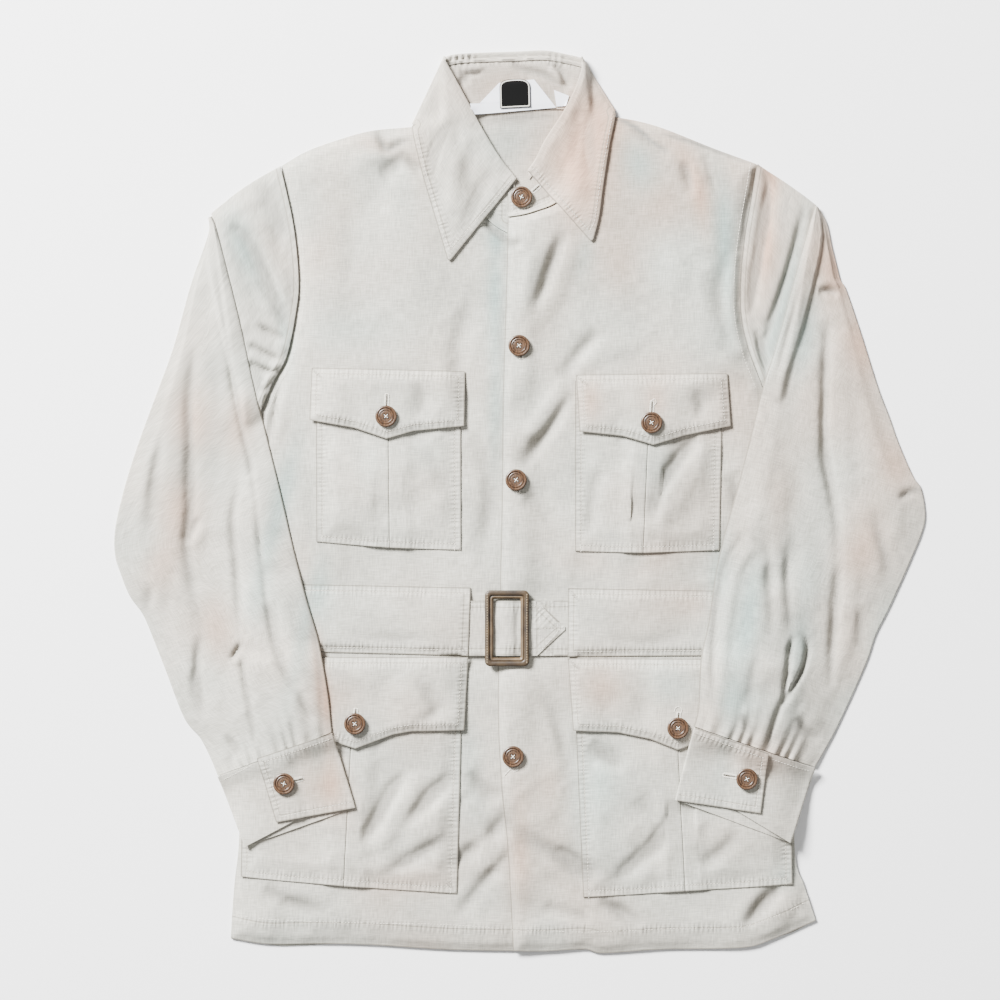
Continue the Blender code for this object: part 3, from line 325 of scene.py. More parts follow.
# Sharp lines of the tucks and the seam at the shoulders, in the same columns. They are
# only painted as shade, with no relief
SHOULDER_LINES = [
    (1.0, 2.2, 2.2, 606, 114, 637, 128, 654, 144, 674, 156),
    (0.8, 2.0, 2.0, 640, 131, 672, 137, 702, 146, 757, 166),
    (0.8, 2.0, 2.2, 374, 127, 381, 141, 387, 149, 398, 144, 413, 136),
]
SLEEVE_FOLDS = {
    "left": [
        (-0.9, 3, 4, 213, 236, 222, 302, 230, 367, 242, 429, 252, 470, 261, 548, 274, 643,
         285, 670, 300, 693, 316, 716),
        (-1.3, 3, 3, 290, 540, 304, 590, 315, 632, 321, 678, 325, 728),
        (-1.5, 5, 8, 193, 340, 190, 400, 190, 448, 191, 504, 187, 541, 193, 586, 203, 634),
        (1.4, 9, 6, 206, 340, 204, 400, 205, 450, 204, 500),
        (1.2, 8, 9, 176, 360, 172, 440, 174, 520, 172, 570),
        (-1.4, 5, 7, 203, 632, 197, 655, 198, 690, 206, 722),
        (1.2, 7, 7, 208, 560, 216, 610, 222, 650),
        (1.2, 8, 8, 176, 575, 182, 625, 190, 680),
        (-1.4, 3, 5, 199, 517, 194, 528, 184, 543),
        (1.1, 4, 4, 204, 524, 200, 536, 192, 549),
        (-1.2, 4, 5, 239, 480, 233, 520, 237, 569, 239, 606, 240, 641),
        (1.3, 8, 8, 254, 470, 248, 530, 252, 590, 258, 640),
        (-1.2, 3, 3, 239, 636, 243, 668, 249, 700, 257, 744),
        (-1.6, 3, 3, 230, 661, 236, 652, 241, 642),
        (1.6, 3, 3, 234, 665, 240, 657, 245, 648),
        (-1.1, 6, 7, 154, 583, 149, 600, 143, 613),
        (1.0, 8, 8, 165, 560, 158, 590, 156, 625),
        (-0.9, 6, 6, 270, 600, 280, 650, 294, 696),
        (1.0, 7, 7, 282, 600, 296, 650, 308, 690),
        (1.0, 8, 8, 150, 440, 140, 490, 136, 540),
        (-0.8, 8, 8, 165, 430, 152, 480, 150, 530),
        (-1.0, 4, 5, 224, 735, 234, 745, 240, 757),
        (1.0, 5, 5, 210, 725, 222, 742, 230, 760),
        (-0.9, 5, 5, 300, 690, 306, 706, 318, 722),
        (0.8, 7, 7, 215, 280, 222, 340, 226, 400),
    ],
    "right": [
        (-0.9, 3, 4, 800, 285, 788, 330, 774, 385),
        (-1.4, 3, 4, 746, 533, 733, 548, 721, 572, 713, 625, 711, 670, 712, 712),
        (1.1, 5, 5, 756, 545, 738, 566, 729, 600, 722, 650, 722, 700),
        (-1.6, 5, 6, 828, 320, 825, 380, 824, 430, 827, 467, 835, 511, 839, 563),
        (1.4, 8, 8, 842, 330, 840, 400, 842, 450, 850, 500),
        (1.2, 8, 9, 812, 350, 808, 400, 810, 460, 820, 520),
        (-1.5, 5, 6, 839, 560, 836, 600, 833, 642, 830, 690),
        (1.3, 7, 8, 852, 540, 852, 590, 847, 640, 842, 690),
        (-1.7, 3, 4, 923, 490, 911, 492, 898, 500),
        (1.2, 4, 5, 920, 481, 908, 484, 896, 489),
        (-1.1, 7, 7, 874, 511, 882, 545, 893, 585),
        (1.2, 8, 8, 896, 512, 902, 545, 906, 575),
        (-1.1, 5, 6, 787, 540, 786, 570, 788, 600, 791, 633),
        (-0.9, 6, 7, 769, 540, 770, 590, 770, 640),
        (1.2, 8, 8, 779, 470, 778, 530, 779, 600),
        (1.1, 8, 8, 806, 520, 808, 570, 816, 610),
        (-2.0, 3, 3, 792, 634, 788, 655, 785, 680, 781, 704),
        (1.8, 3, 4, 799, 634, 799, 655, 793, 676, 786, 696),
        (-2.0, 3, 3, 797, 632, 807, 645, 802, 669, 791, 687, 781, 706),
        (-1.3, 3, 4, 783, 696, 775, 716, 768, 738, 766, 750),
        (-1.2, 4, 5, 838, 296, 829, 291, 818, 292),
        (1.1, 4, 4, 842, 284, 830, 281, 816, 284),
        (1.0, 8, 8, 770, 430, 762, 480, 756, 520),
        (-0.9, 6, 6, 758, 640, 750, 680, 744, 710),
        (0.9, 8, 8, 862, 400, 872, 440, 878, 480),
        (-0.9, 7, 8, 850, 600, 862, 630, 856, 660),
        (-1.1, 5, 5, 796, 716, 806, 730, 822, 742),
        (1.0, 5, 5, 800, 704, 814, 718, 830, 726),
        (-1.0, 5, 5, 740, 712, 746, 724, 756, 736),
    ],
}
HEAD_FOLDS = [
    (-2.2, 5, 8, 229, 226, 245, 234, 257, 252, 266, 272, 276, 298, 291, 330),
    (1.6, 7, 7, 243, 218, 262, 238, 276, 268, 290, 304),
    (1.2, 8, 8, 222, 240, 234, 274, 248, 312, 258, 334),
    (-1.5, 3, 4, 289, 341, 272, 334, 256, 324),
    (-1.6, 3, 4, 287, 362, 268, 356, 249, 344),
    (-1.6, 3, 3, 281, 373, 265, 370, 249, 362),
    (1.4, 4, 4, 288, 352, 270, 346, 252, 335),
    (1.3, 4, 4, 284, 368, 266, 363, 250, 353),
    (-1.2, 3, 4, 281, 382, 270, 388, 260, 392),
    (-1.0, 9, 9, 262, 180, 276, 210, 284, 250),
    (-2.2, 5, 6, 766, 170, 768, 200, 763, 233, 755, 282, 750, 316),
    (1.5, 7, 7, 779, 180, 780, 220, 773, 260, 763, 310),
    (-1.3, 4, 5, 806, 203, 798, 232, 788, 266, 774, 312, 762, 352),
    (1.2, 6, 6, 794, 200, 789, 236, 778, 280, 766, 320),
    (-1.1, 4, 4, 756, 330, 762, 350, 768, 372),
]
COLLAR_FOLDS = [
    (-0.7, 6, 6, 452, 120, 436, 150, 430, 185),
    (0.8, 8, 8, 470, 130, 456, 170, 452, 215),
    (-0.6, 7, 7, 494, 168, 478, 196, 462, 236),
    (0.7, 8, 8, 562, 130, 574, 160, 580, 200),
    (-0.7, 7, 7, 590, 110, 590, 140, 592, 180),
    (-0.9, 3, 4, 512, 61, 519, 68, 528, 71, 545, 75, 560, 85, 568, 93),
    (-0.9, 3, 3, 553, 64, 560, 70, 566, 80, 569, 90),
    (0.8, 3, 3, 549, 68, 556, 74, 562, 84),
    (0.8, 4, 4, 462, 70, 474, 69, 484, 67),
    (-0.7, 3, 3, 460, 73, 476, 73, 483, 71),
    (-0.7, 4, 4, 459, 86, 464, 80, 471, 78),
]

# Where the cloth is tinted warm or cool. Columns: x, y, half width, half height,
# turn in degrees, strength
WARM_PATCHES = [
    (626, 270, 30, 40, 0, 0.4), (835, 300, 26, 60, -14, 0.5),
    (720, 300, 100, 240, 0, 0.28), (850, 420, 60, 230, -14, 0.1), (584, 160, 34, 84, 8, 0.7),
    (326, 776, 20, 40, -14, 0.9), (522, 90, 60, 26, 0, 0.5), (600, 860, 120, 60, 0, 0.15),
    (690, 168, 13, 34, -30, 0.65), (704, 214, 11, 40, -10, 0.65),
    (640, 170, 26, 60, -12, 0.55), (768, 215, 10, 60, 4, 1.0),
    (735, 330, 16, 50, 0, 0.5), (560, 290, 26, 60, 12, 0.5),
    (560, 820, 20, 70, -8, 0.55), (520, 850, 12, 60, 0, 0.5), (186, 470, 22, 120, 4, 0.65),
    (214, 610, 20, 60, -8, 0.5), (160, 560, 18, 50, 10, 0.35), (860, 340, 16, 90, -14, 0.4),
    (896, 470, 20, 60, -20, 0.35), (860, 560, 26, 70, 12, 0.45), (770, 560, 18, 80, 10, 0.45),
    (384, 150, 24, 10, 20, 0.7), (320, 665, 7, 70, -8, 0.8), (330, 250, 30, 60, 10, 0.3),
    (270, 260, 16, 60, -12, 0.35),
    (600, 690, 24, 26, 0, 0.4), (590, 400, 12, 26, 0, 0.55), (655, 405, 12, 24, 0, 0.4),
    (330, 700, 30, 24, 0, 0.35), (760, 760, 30, 20, 0, 0.4), (240, 420, 14, 50, 8, 0.5),
    (420, 190, 14, 50, -8, 0.35), (690, 600, 30, 20, 0, 0.35),
    (430, 880, 60, 16, 0, 0.3), (620, 560, 60, 14, 0, 0.3),
]
COOL_PATCHES = [
    (787, 285, 9, 80, 15, 1.0), (638, 160, 20, 34, -20, 0.8), (726, 250, 12, 80, -4, 0.8),
    (515, 150, 30, 30, 0, 0.5),
    (495, 300, 9, 70, 0, 0.75), (495, 420, 8, 60, 0, 0.6), (497, 240, 12, 14, 0, 0.6),
    (276, 520, 12, 90, 14, 0.8), (300, 650, 10, 50, 12, 0.6), (806, 330, 12, 70, 10, 0.6),
    (745, 640, 14, 90, 8, 0.7), (800, 640, 12, 70, 8, 0.5), (725, 700, 10, 60, 4, 0.6),
    (240, 240, 14, 40, -24, 0.7), (285, 330, 8, 40, -10, 0.6), (586, 250, 10, 30, 10, 0.4),
    (430, 460, 26, 22, 0, 0.35), (366, 470, 16, 26, 0, 0.35), (660, 470, 20, 26, 20, 0.35),
    (470, 760, 14, 60, -8, 0.35), (640, 560, 30, 12, 0, 0.3), (318, 760, 12, 40, 0, 0.55),
    (680, 690, 40, 20, 10, 0.5), (740, 700, 26, 26, 0, 0.45), (870, 660, 14, 60, 24, 0.4),
    (600, 780, 20, 50, 0, 0.35), (320, 580, 12, 40, 0, 0.5), (560, 100, 14, 8, 0, 0.4),
    (720, 560, 12, 50, 6, 0.55), (780, 880, 14, 20, 30, 0.4), (350, 330, 50, 20, 0, 0.25),
]

# Cloth of each piece. Columns: width and length of the cut in mm, share of that rectangle
# that is cloth, how it is held, what it lies on
SHEETS = {
    "back_panel": (556, 805, 0.85, "laid", []),
    "front_left": (300, 800, 0.82, "laid", ["back_panel"]),
    "front_right": (306, 800, 0.80, "laid", ["back_panel", "front_left"]),
    "collar_band": (400, 50, 0.80, "folded", ["back_panel", "front_left", "front_right"]),
    "collar_leaf": (460, 98, 0.76, "folded", ["collar_band"]),
    "sleeve_left": (330, 585, 0.61, "folded", ["front_left"]),
    "sleeve_right": (335, 590, 0.65, "folded", ["front_right"]),
    "sleeve_head_left": (180, 240, 0.60, "folded", ["sleeve_left"]),
    "sleeve_head_right": (160, 230, 0.60, "folded", ["sleeve_right"]),
    "cuff_left": (265, 72, 0.95, "folded", ["sleeve_left"]),
    "cuff_right": (265, 72, 0.95, "folded", ["sleeve_right"]),
    "chest_pocket_left": (182, 166, 0.97, "folded", ["front_left"]),
    "chest_pocket_right": (184, 166, 0.97, "folded", ["front_right"]),
    "hip_pocket_left": (250, 215, 0.97, "folded", ["front_left"]),
    "hip_pocket_right": (250, 215, 0.97, "folded", ["front_right"]),
    "chest_flap_left": (147, 67, 0.88, "laid", ["chest_pocket_left"]),
    "chest_flap_right": (147, 67, 0.88, "laid", ["chest_pocket_right"]),
    "hip_flap_left": (214, 86, 0.84, "laid", ["hip_pocket_left"]),
    "hip_flap_right": (214, 86, 0.84, "laid", ["hip_pocket_right"]),
    "waist_casing_left": (214, 66, 0.97, "laid", ["front_left"]),
    "waist_casing_right": (212, 64, 0.97, "laid", ["front_right"]),
    "belt_free_end": (52, 122, 0.92, "laid", ["buckle"]),
    "belt_fixed_end": (52, 105, 0.92, "laid", ["buckle"]),
    "neck_label_backing": (78, 34, 0.62, "laid", ["collar_band"]),
    "neck_label": (30, 28.5, 0.93, "laid", ["neck_label_backing"]),
    "care_label": (14, 15, 0.78, "laid", ["collar_band"]),
}

TOP = np.zeros((FIELD, FIELD))


# Lines and grids

def curve(points, count):
    """count points evenly along the smooth curve through the table's points."""
    knots = np.array(points, float)
    knots = np.vstack([2 * knots[0] - knots[1], knots, 2 * knots[-1] - knots[-2]])
    t = np.linspace(0, 1, 24, endpoint=False)[:, None]
    runs = []
    for before, start, end, after in zip(knots, knots[1:], knots[2:], knots[3:]):
        runs.append(0.5 * (
            2 * start
            + (end - before) * t
            + (2 * before - 5 * start + 4 * end - after) * t ** 2
            + (3 * start - before - 3 * end + after) * t ** 3
        ))
    line = np.vstack(runs + [knots[-2:-1]])
    return resample(line, count)


def resample(line, count):
    reach = np.concatenate([[0], np.cumsum(np.hypot(*np.diff(line, axis=0).T))])
    want = np.linspace(0, reach[-1], count)
    return np.column_stack([np.interp(want, reach, line[:, k]) for k in (0, 1)])


def straight(points, spacing):
    """Points along straight runs that keep every corner."""
    line = [np.array(points[0], float)]
    for start, end in zip(points, points[1:]):
        start, end = np.array(start, float), np.array(end, float)
        steps = max(1, round(float(np.hypot(*(end - start))) / spacing))
        line += [start + (end - start) * step / steps for step in range(1, steps + 1)]
    return np.array(line)


def patch(left, right, bottom, top):
    """A grid between four edges. Its first index runs from left to right."""
    u = np.linspace(0, 1, len(bottom))[:, None, None]
    v = np.linspace(0, 1, len(left))[None, :, None]
    corners = ((1 - v) * ((1 - u) * bottom[0] + u * bottom[-1])
               + v * ((1 - u) * top[0] + u * top[-1]))
    return ((1 - u) * left[None] + u * right[None]
            + (1 - v) * bottom[:, None] + v * top[:, None] - corners)


def between(first, last, count):
    """A grid whose second index runs from one line to the other."""
    share = np.linspace(0, 1, count)[None, :, None]
    return first[:, None] * (1 - share) + last[:, None] * share


def unit(vectors):
    return vectors / np.maximum(np.linalg.norm(vectors, axis=-1, keepdims=True), 1e-9)


def inset(line, margin):
    """The line moved this far to the right of its way, seen with y down."""
    way = unit(np.gradient(line, axis=0))
    return line + np.column_stack([-way[:, 1], way[:, 0]]) * margin


def solid_points(plan, height):
    return np.dstack([
        (plan[..., 0] - MIDDLE_X) * PIXEL,
        (MIDDLE_Y - plan[..., 1]) * PIXEL,
        height * MM,
    ])


def plan_of(points):
    """The places in pixels of points in metres."""
    return np.dstack([points[..., 0] / PIXEL + MIDDLE_X, MIDDLE_Y - points[..., 1] / PIXEL])


def flat_ways(ways):
    """The plan's directions as directions in space."""
    return np.column_stack([ways[:, 0], -ways[:, 1], np.zeros(len(ways))])


# Height fields

def soften(field, radius, passes=2):
    """A running mean over 2 * radius + 1 cells, both ways."""
    width = 2 * radius + 1
    for axis in (0, 1) * passes:
        room = [(radius + 1, radius) if k == axis else (0, 0) for k in (0, 1)]
        total = np.cumsum(np.pad(field, room, mode="edge"), axis=axis)
        size = field.shape[axis]
        upper = np.take(total, np.arange(width, width + size), axis=axis)
        lower = np.take(total, np.arange(0, size), axis=axis)
        field = (upper - lower) / width
    return field


def swell(field, radius):
    """The highest value within the radius."""
    for axis in (0, 1):
        best = field
        for step in range(1, radius + 1):
            best = np.maximum(best, np.roll(field, step, axis=axis))
            best = np.maximum(best, np.roll(field, -step, axis=axis))
        field = best
    return field


def sample(field, plan, scale=1):
    x = np.clip(plan[..., 0] / scale, 0, field.shape[1] - 1.001)
    y = np.clip(plan[..., 1] / scale, 0, field.shape[0] - 1.001)
    i, j = x.astype(int), y.astype(int)
    fx, fy = x - i, y - j
    upper = field[j, i] * (1 - fx) + field[j, i + 1] * fx
    lower = field[j + 1, i] * (1 - fx) + field[j + 1, i + 1] * fx
    return upper * (1 - fy) + lower * fy


def deposit(plan, height):
    """Raises TOP to this layer's upper face."""
    shares = (0, 1 / 3, 2 / 3)
    for a in shares:
        for b in shares:
            def mix(grid):
                return ((1 - a) * (1 - b) * grid[:-1, :-1] + a * (1 - b) * grid[1:, :-1]
                        + (1 - a) * b * grid[:-1, 1:] + a * b * grid[1:, 1:])
            spots = np.rint(mix(plan)).astype(int)
            np.maximum.at(TOP, (spots[..., 1], spots[..., 0]), mix(height) + WALL / 2)


def lie(plan, room=0.0, reach=3, ease=2, solid=None):
    """Middle heights of a layer that lies on what is there, or on its own solid's form."""
    ground = sample(swell(TOP, reach), plan)
    height = np.where(ground > 0, ground + GAP, 0) + WALL / 2
    if solid:
        height = np.maximum(height, solid_top(solid, plan) - SOLID_WALL / 2)
    height = soften(height, ease) + room
    ground = sample(TOP, plan)
    return np.maximum(height, np.where(ground > 0, ground + GAP, 0) + WALL / 2)


def settle(plan, room=0.0, reach=3, ease=2):
    """Lies a layer on what is there and marks it in TOP."""
    height = lie(plan, room, reach, ease)
    deposit(plan, height)
    return height


def solid_top(name, plan):
    """The solid's upper face under these places, softened past its facets."""
    low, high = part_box(name)
    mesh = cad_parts[name].data
    tree = BVHTree.FromPolygons([v.co for v in mesh.vertices], [p.vertices for p in mesh.polygons])
    cells = FIELD // SOLID_STEP + 1
    heights, seen = np.zeros((cells, cells)), np.zeros((cells, cells))
    first_row = int((MIDDLE_Y - high.y / PIXEL) / SOLID_STEP)
    last_row = int((MIDDLE_Y - low.y / PIXEL) / SOLID_STEP) + 1
    first_column = int((low.x / PIXEL + MIDDLE_X) / SOLID_STEP)
    last_column = int((high.x / PIXEL + MIDDLE_X) / SOLID_STEP) + 1
    for row in range(first_row, last_row + 1):
        y = (MIDDLE_Y - row * SOLID_STEP) * PIXEL
        for column in range(first_column, last_column + 1):
            x = (column * SOLID_STEP - MIDDLE_X) * PIXEL
            hit = tree.ray_cast(Vector((x, y, 1)), Vector((0, 0, -1)))[0]
            if hit:
                heights[row, column] = hit.z / MM
                seen[row, column] = 1
    near = soften(heights * seen, 2) / np.maximum(soften(seen, 2), 1e-6)
    wide = soften(heights * seen, 8) / np.maximum(soften(seen, 8), 1e-6)
    smooth = np.where(soften(seen, 2) > 0.02, near, wide)
    return sample(smooth, plan, SOLID_STEP)


def rumple(seed, radius):
    """A smooth uneven field between about -1 and 1."""
    random = np.random.default_rng(seed).standard_normal((FIELD // 2, FIELD // 2))
    field = soften(random, radius, 3)
    field /= np.abs(field).max()
    return soften(np.kron(field, np.ones((2, 2))), 1, 1)


def crumple(seed, radius):
    """Soft creases that cross each other, between 0 and about 1."""
    return np.clip(1 - 2.6 * np.abs(rumple(seed, radius)), 0, 1) ** 2


def fold_field(table):
    """The heights of soft folds that fade out at both ends of their lines."""
    field = np.zeros((FIELD, FIELD))
    for height, near, far, *places in table:
        line = curve(np.reshape(places, (-1, 2)), 2 * len(places))
        reach = 3 * max(near, far)
        x0, y0 = np.maximum(line.min(0) - reach, 0).astype(int)
        x1, y1 = np.minimum(line.max(0) + reach, FIELD - 1).astype(int)
        ys, xs = np.mgrid[y0:y1, x0:x1]
        best = np.full(xs.shape, 1e9)
        side, along = np.zeros(xs.shape), np.zeros(xs.shape)
        for k, (start, end) in enumerate(zip(line, line[1:])):
            run = end - start
            share = np.clip(((xs - start[0]) * run[0] + (ys - start[1]) * run[1]) / (run @ run), 0, 1)
            dx, dy = xs - start[0] - share * run[0], ys - start[1] - share * run[1]
            away = np.hypot(dx, dy)
            closer = away < best
            best = np.where(closer, away, best)
            side = np.where(closer, run[0] * dy - run[1] * dx, side)
            along = np.where(closer, (k + share) / (len(line) - 1), along)
        width = np.where(side > 0, far, near)
        ends = np.sin(np.pi * along) ** 0.7
        field[y0:y1, x0:x1] += FOLD_HEIGHT * height * np.exp(-(best / (FOLD_WIDTH * width)) ** 2) * ends
    return field


def neck_gathers():
    """Where the collar's seam is drawn up behind the neck."""
    ys, xs = np.mgrid[0:FIELD, 0:FIELD]
    wave = np.sin(math.tau * (xs + 0.2 * (ys - 60)) / 6.2)
    left = np.exp(-((xs - 461) / 15) ** 4) * np.exp(-((ys - 59) / 8) ** 2)
    right = np.exp(-((xs - 555) / 9) ** 4) * np.exp(-((ys - 60) / 7) ** 2)
    return wave * (1.7 * left + 1.1 * right)


def tint_field(table):
    ys, xs = np.mgrid[0:FIELD, 0:FIELD]
    field = np.zeros((FIELD, FIELD))
    for x, y, wide, high, turn, strength in table:
        c, s = math.cos(math.radians(turn)), math.sin(math.radians(turn))
        u = ((xs - x) * c + (ys - y) * s) / wide
        v = ((ys - y) * c - (xs - x) * s) / high
        field += strength * np.exp(-(u * u + v * v))
    return field


def line_distance(plan, lines):
    """How far each place is from the nearest line, and how far along it, in mm."""
    best = np.full(plan.shape[:2], 1e9)
    run_at = np.zeros(plan.shape[:2])
    passed = 0.0
    for line in lines:
        for start, end in zip(line, line[1:]):
            run = end - start
            length = float(np.hypot(*run))
            if length < 1e-6:
                continue
            away = plan - start
            share = np.clip((away @ run) / length ** 2, 0, 1)
            gone = np.linalg.norm(away - share[..., None] * run, axis=-1)
            closer = gone < best
            best = np.where(closer, gone, best)
            run_at = np.where(closer, passed + share * length, run_at)
            passed += length
    return best * PIXEL / MM, run_at * PIXEL / MM


def calm(run):
    """1, and 0 about the corners, where the nearest edge changes."""
    jump = np.maximum(np.abs(np.diff(run, axis=0, prepend=run[:1])),
                      np.abs(np.diff(run, axis=1, prepend=run[:, :1])))
    return 1 - np.clip(3 * soften((jump > 4).astype(float), 2, 1), 0, 1)


def pucker(edge, run, height, seed=0.0, middle=3.2, width=3.4):
    """Small ridges across a stitched edge, uneven along it."""
    wave = (np.sin(run * 1.02 + seed) + 0.7 * np.sin(run * 0.63 + 2 * seed)
            + 0.6 * np.sin(run * 0.29 + 3 * seed))
    return height * calm(run) * (0.5 + 0.3 * wave) * np.exp(-((edge - middle) / width) ** 2)


def fade_in(shape, cells):
    """0 at the grid's rim, rising to 1 this many cells in."""
    i = np.arange(shape[0])[:, None]
    j = np.arange(shape[1])[None, :]
    near = np.minimum(np.minimum(i, shape[0] - 1 - i), np.minimum(j, shape[1] - 1 - j))
    share = np.clip(near / cells, 0, 1)
    return share * share * (3 - 2 * share)


# Meshes

def shell_mesh(points, wall):
    """Vertices and faces of the closed wall round a grid of middle points in metres."""
    normal = unit(np.cross(np.gradient(points, axis=0), np.gradient(points, axis=1)))
    half = normal * wall * MM / 2
    wide, high = points.shape[:2]
    vertices = np.concatenate([(points + half).reshape(-1, 3), (points - half).reshape(-1, 3)])
    index = np.arange(wide * high).reshape(wide, high)
    a, b, c, d = index[:-1, :-1], index[1:, :-1], index[1:, 1:], index[:-1, 1:]
    upper = np.stack([a, b, c, d], axis=-1).reshape(-1, 4)
    lower = upper[:, ::-1] + wide * high
    rim = np.concatenate([index[:, 0], index[-1, 1:], index[-2::-1, -1], index[0, -2:0:-1]])
    after = np.roll(rim, -1)
    side = np.stack([rim, rim + wide * high, after + wide * high, after], axis=-1)
    return vertices, np.concatenate([upper, lower, side])


def add_object(name, data):
    made = bpy.data.objects.new(name, data)
    bpy.context.scene.collection.objects.link(made)
    return made


def add_mesh(name, vertices, faces, look):
    mesh = bpy.data.meshes.new(name)
    mesh.from_pydata(vertices.tolist(), [], faces.tolist() if hasattr(faces, "tolist") else faces)
    mesh.materials.append(look)
    mesh.shade_smooth()
    mesh.set_sharp_from_angle(angle=math.radians(60))
    return add_object(name, mesh)


def belong(made, slot, *nodes):
    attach(made, "root")
    if nodes:
        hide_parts(*nodes)
    return made


def add_cloth(name, points, plan, edge=None, run=None, look=None, slot="cloth", wall=WALL, rim=None,
              folds="body"):
    """A sheet of cloth in place of its solid, with what its material needs at each point."""
    vertices, faces = shell_mesh(points, wall)
    made = add_mesh(name + "_cloth", vertices, faces, look or LOOKS["cloth"])
    flat = made.data.attributes
    along = np.cumsum(np.linalg.norm(np.diff(points, axis=0, prepend=points[:1]), axis=-1), axis=0)
    across = np.cumsum(np.linalg.norm(np.diff(points, axis=1, prepend=points[:, :1]), axis=-1), axis=1)
    # Flat pieces keep straight grain, and the collar and the sleeves carry theirs round
    if folds == "body":
        along, across = plan[..., 0] * PIXEL, plan[..., 1] * PIXEL
    weave = np.dstack([along, across, np.zeros(along.shape)]).reshape(-1, 3)
    flat.new("weave", "FLOAT_VECTOR", "POINT").data.foreach_set("vector", np.tile(weave, (2, 1)).ravel())
    far = np.full(along.shape, NO_EDGE)
    edge = far if edge is None else edge
    # shade carries the painted shade of the fold troughs, and rim the distance to the edges that are painted
    # dark
    columns = {
        "edge": edge,
        "rim": edge if rim is None else rim,
        "run": np.zeros(along.shape) if run is None else run,
        "calm": np.ones(along.shape) if run is None else calm(run),
        "shade": sample(FIELDS["shade " + folds], plan),
        "warm": sample(FIELDS["warm"], plan),
        "cool": sample(FIELDS["cool"], plan),
    }
    for key, values in columns.items():
        data = np.tile(values.reshape(-1), 2).astype(np.float32)
        flat.new(key, "FLOAT", "POINT").data.foreach_set("value", data)
    belong(made, slot, name)
    if name in SHEETS:
        width, length, share, held, rests_on = SHEETS[name]
        width, length = width * MM, length * MM
    return made


def turn_over(first, last, outward, reach, steps):
    """Columns of the fold from one layer's edge to the other's."""
    middle, half = (first + last) / 2, (first - last) / 2
    angles = [math.pi * step / (steps + 1) for step in range(1, steps + 1)]
    return np.stack([middle + half * math.cos(t) + outward * reach * MM * math.sin(t) for t in angles])


def threads(name, spots, ways, heights, length, width, look, slot="cloth", tall=0.5):
    """Short raised stitches at these places, one joined mesh. Lengths are in mm."""
    count = len(spots)
    centre = np.column_stack([
        (spots[:, 0] - MIDDLE_X) * PIXEL, (MIDDLE_Y - spots[:, 1]) * PIXEL, heights * MM])
    way = unit(flat_ways(ways))
    cross = np.column_stack([-way[:, 1], way[:, 0], np.zeros(count)])
    up = np.tile([0, 0, 1.0], (count, 1))
    points = []
    for share, size in ((-0.42, 0.7), (0, 1.0), (0.42, 0.7)):
        ring = centre + way * share * length * MM
        half = width * size * MM / 2
        points += [ring + cross * half, ring + up * half * 2 * tall, ring - cross * half, ring - up * half]
    points += [centre - way * length * MM / 2, centre + way * length * MM / 2]
    vertices = np.stack(points, axis=1).reshape(-1, 3)
    shape = []
    for ring in (0, 4):
        for k in range(4):
            m = (k + 1) % 4
            shape.append([ring + k, ring + m, ring + 4 + m, ring + 4 + k])
    for k in range(4):
        m = (k + 1) % 4
        shape.append([12, k, m])
        shape.append([13, 8 + m, 8 + k])
    faces = [[corner + 14 * item for corner in face] for item in range(count) for face in shape]
    return belong(add_mesh(name, vertices, faces, look), slot)


def sew(name, lines):
    """Rows of stitches on top of what is laid so far."""
    settings = bpy.context.scene.jacket_cloth
    spots, ways = [], []
    for line in lines:
        length = np.hypot(*np.diff(line, axis=0).T).sum() * PIXEL / MM
        count = max(2, int(length / settings.stitch_pitch))
        fine = resample(line, 2 * count + 1)
        spots.append(fine[1::2])
        ways.append(fine[2::2] - fine[:-1:2])
    spots, ways = np.vstack(spots), np.vstack(ways)
    heights = sample(TOP, spots) + 0.04
    return threads(name, spots, ways, heights, settings.stitch_length, settings.thread_width, LOOKS["thread"])


# Materials

def linear(code):
    """The linear colour of an sRGB hex value."""
    parts = [int(code[k:k + 2], 16) / 255 for k in (1, 3, 5)]
    return tuple(c / 12.92 if c <= 0.04045 else ((c + 0.055) / 1.055) ** 2.4 for c in parts) + (1.0,)


def node(tree, kind, inputs=None, **settings):
    made = tree.nodes.new(kind)
    for key, value in settings.items():
        setattr(made, key, value)
    for key, value in (inputs or {}).items():
        if isinstance(value, bpy.types.NodeSocket):
            tree.links.new(value, made.inputs[key])
        else:
            made.inputs[key].default_value = value
    return made


def new_material(name):
    made = bpy.data.materials.new(name)
    made.use_nodes = True
    tree = made.node_tree
    return made, tree, tree.nodes["Principled BSDF"]


def attribute(tree, name, output="Fac"):
    return node(tree, "ShaderNodeAttribute", attribute_name=name).outputs[output]


def maths(tree, operation, first, second=0.0):
    return node(tree, "ShaderNodeMath", {0: first, 1: second}, operation=operation).outputs[0]


def spread(tree, value, low, high, new_low=0.0, new_high=1.0, kind="LINEAR"):
    """The value with low moved to new_low and high to new_high, and kept between them."""
    limits = {"Value": value, "From Min": low, "From Max": high, "To Min": new_low, "To Max": new_high}
    return node(tree, "ShaderNodeMapRange", limits, interpolation_type=kind).outputs[0]


def noise(tree, place, scale, detail):
    made = node(tree, "ShaderNodeTexNoise", {"Vector": place, "Scale": scale, "Detail": detail})
    return made.outputs["Fac"]


def mix(tree, share, first, second, kind="MIX"):
    made = node(tree, "ShaderNodeMix", {0: share, 6: first, 7: second}, data_type="RGBA", blend_type=kind)
    return made.outputs[2]


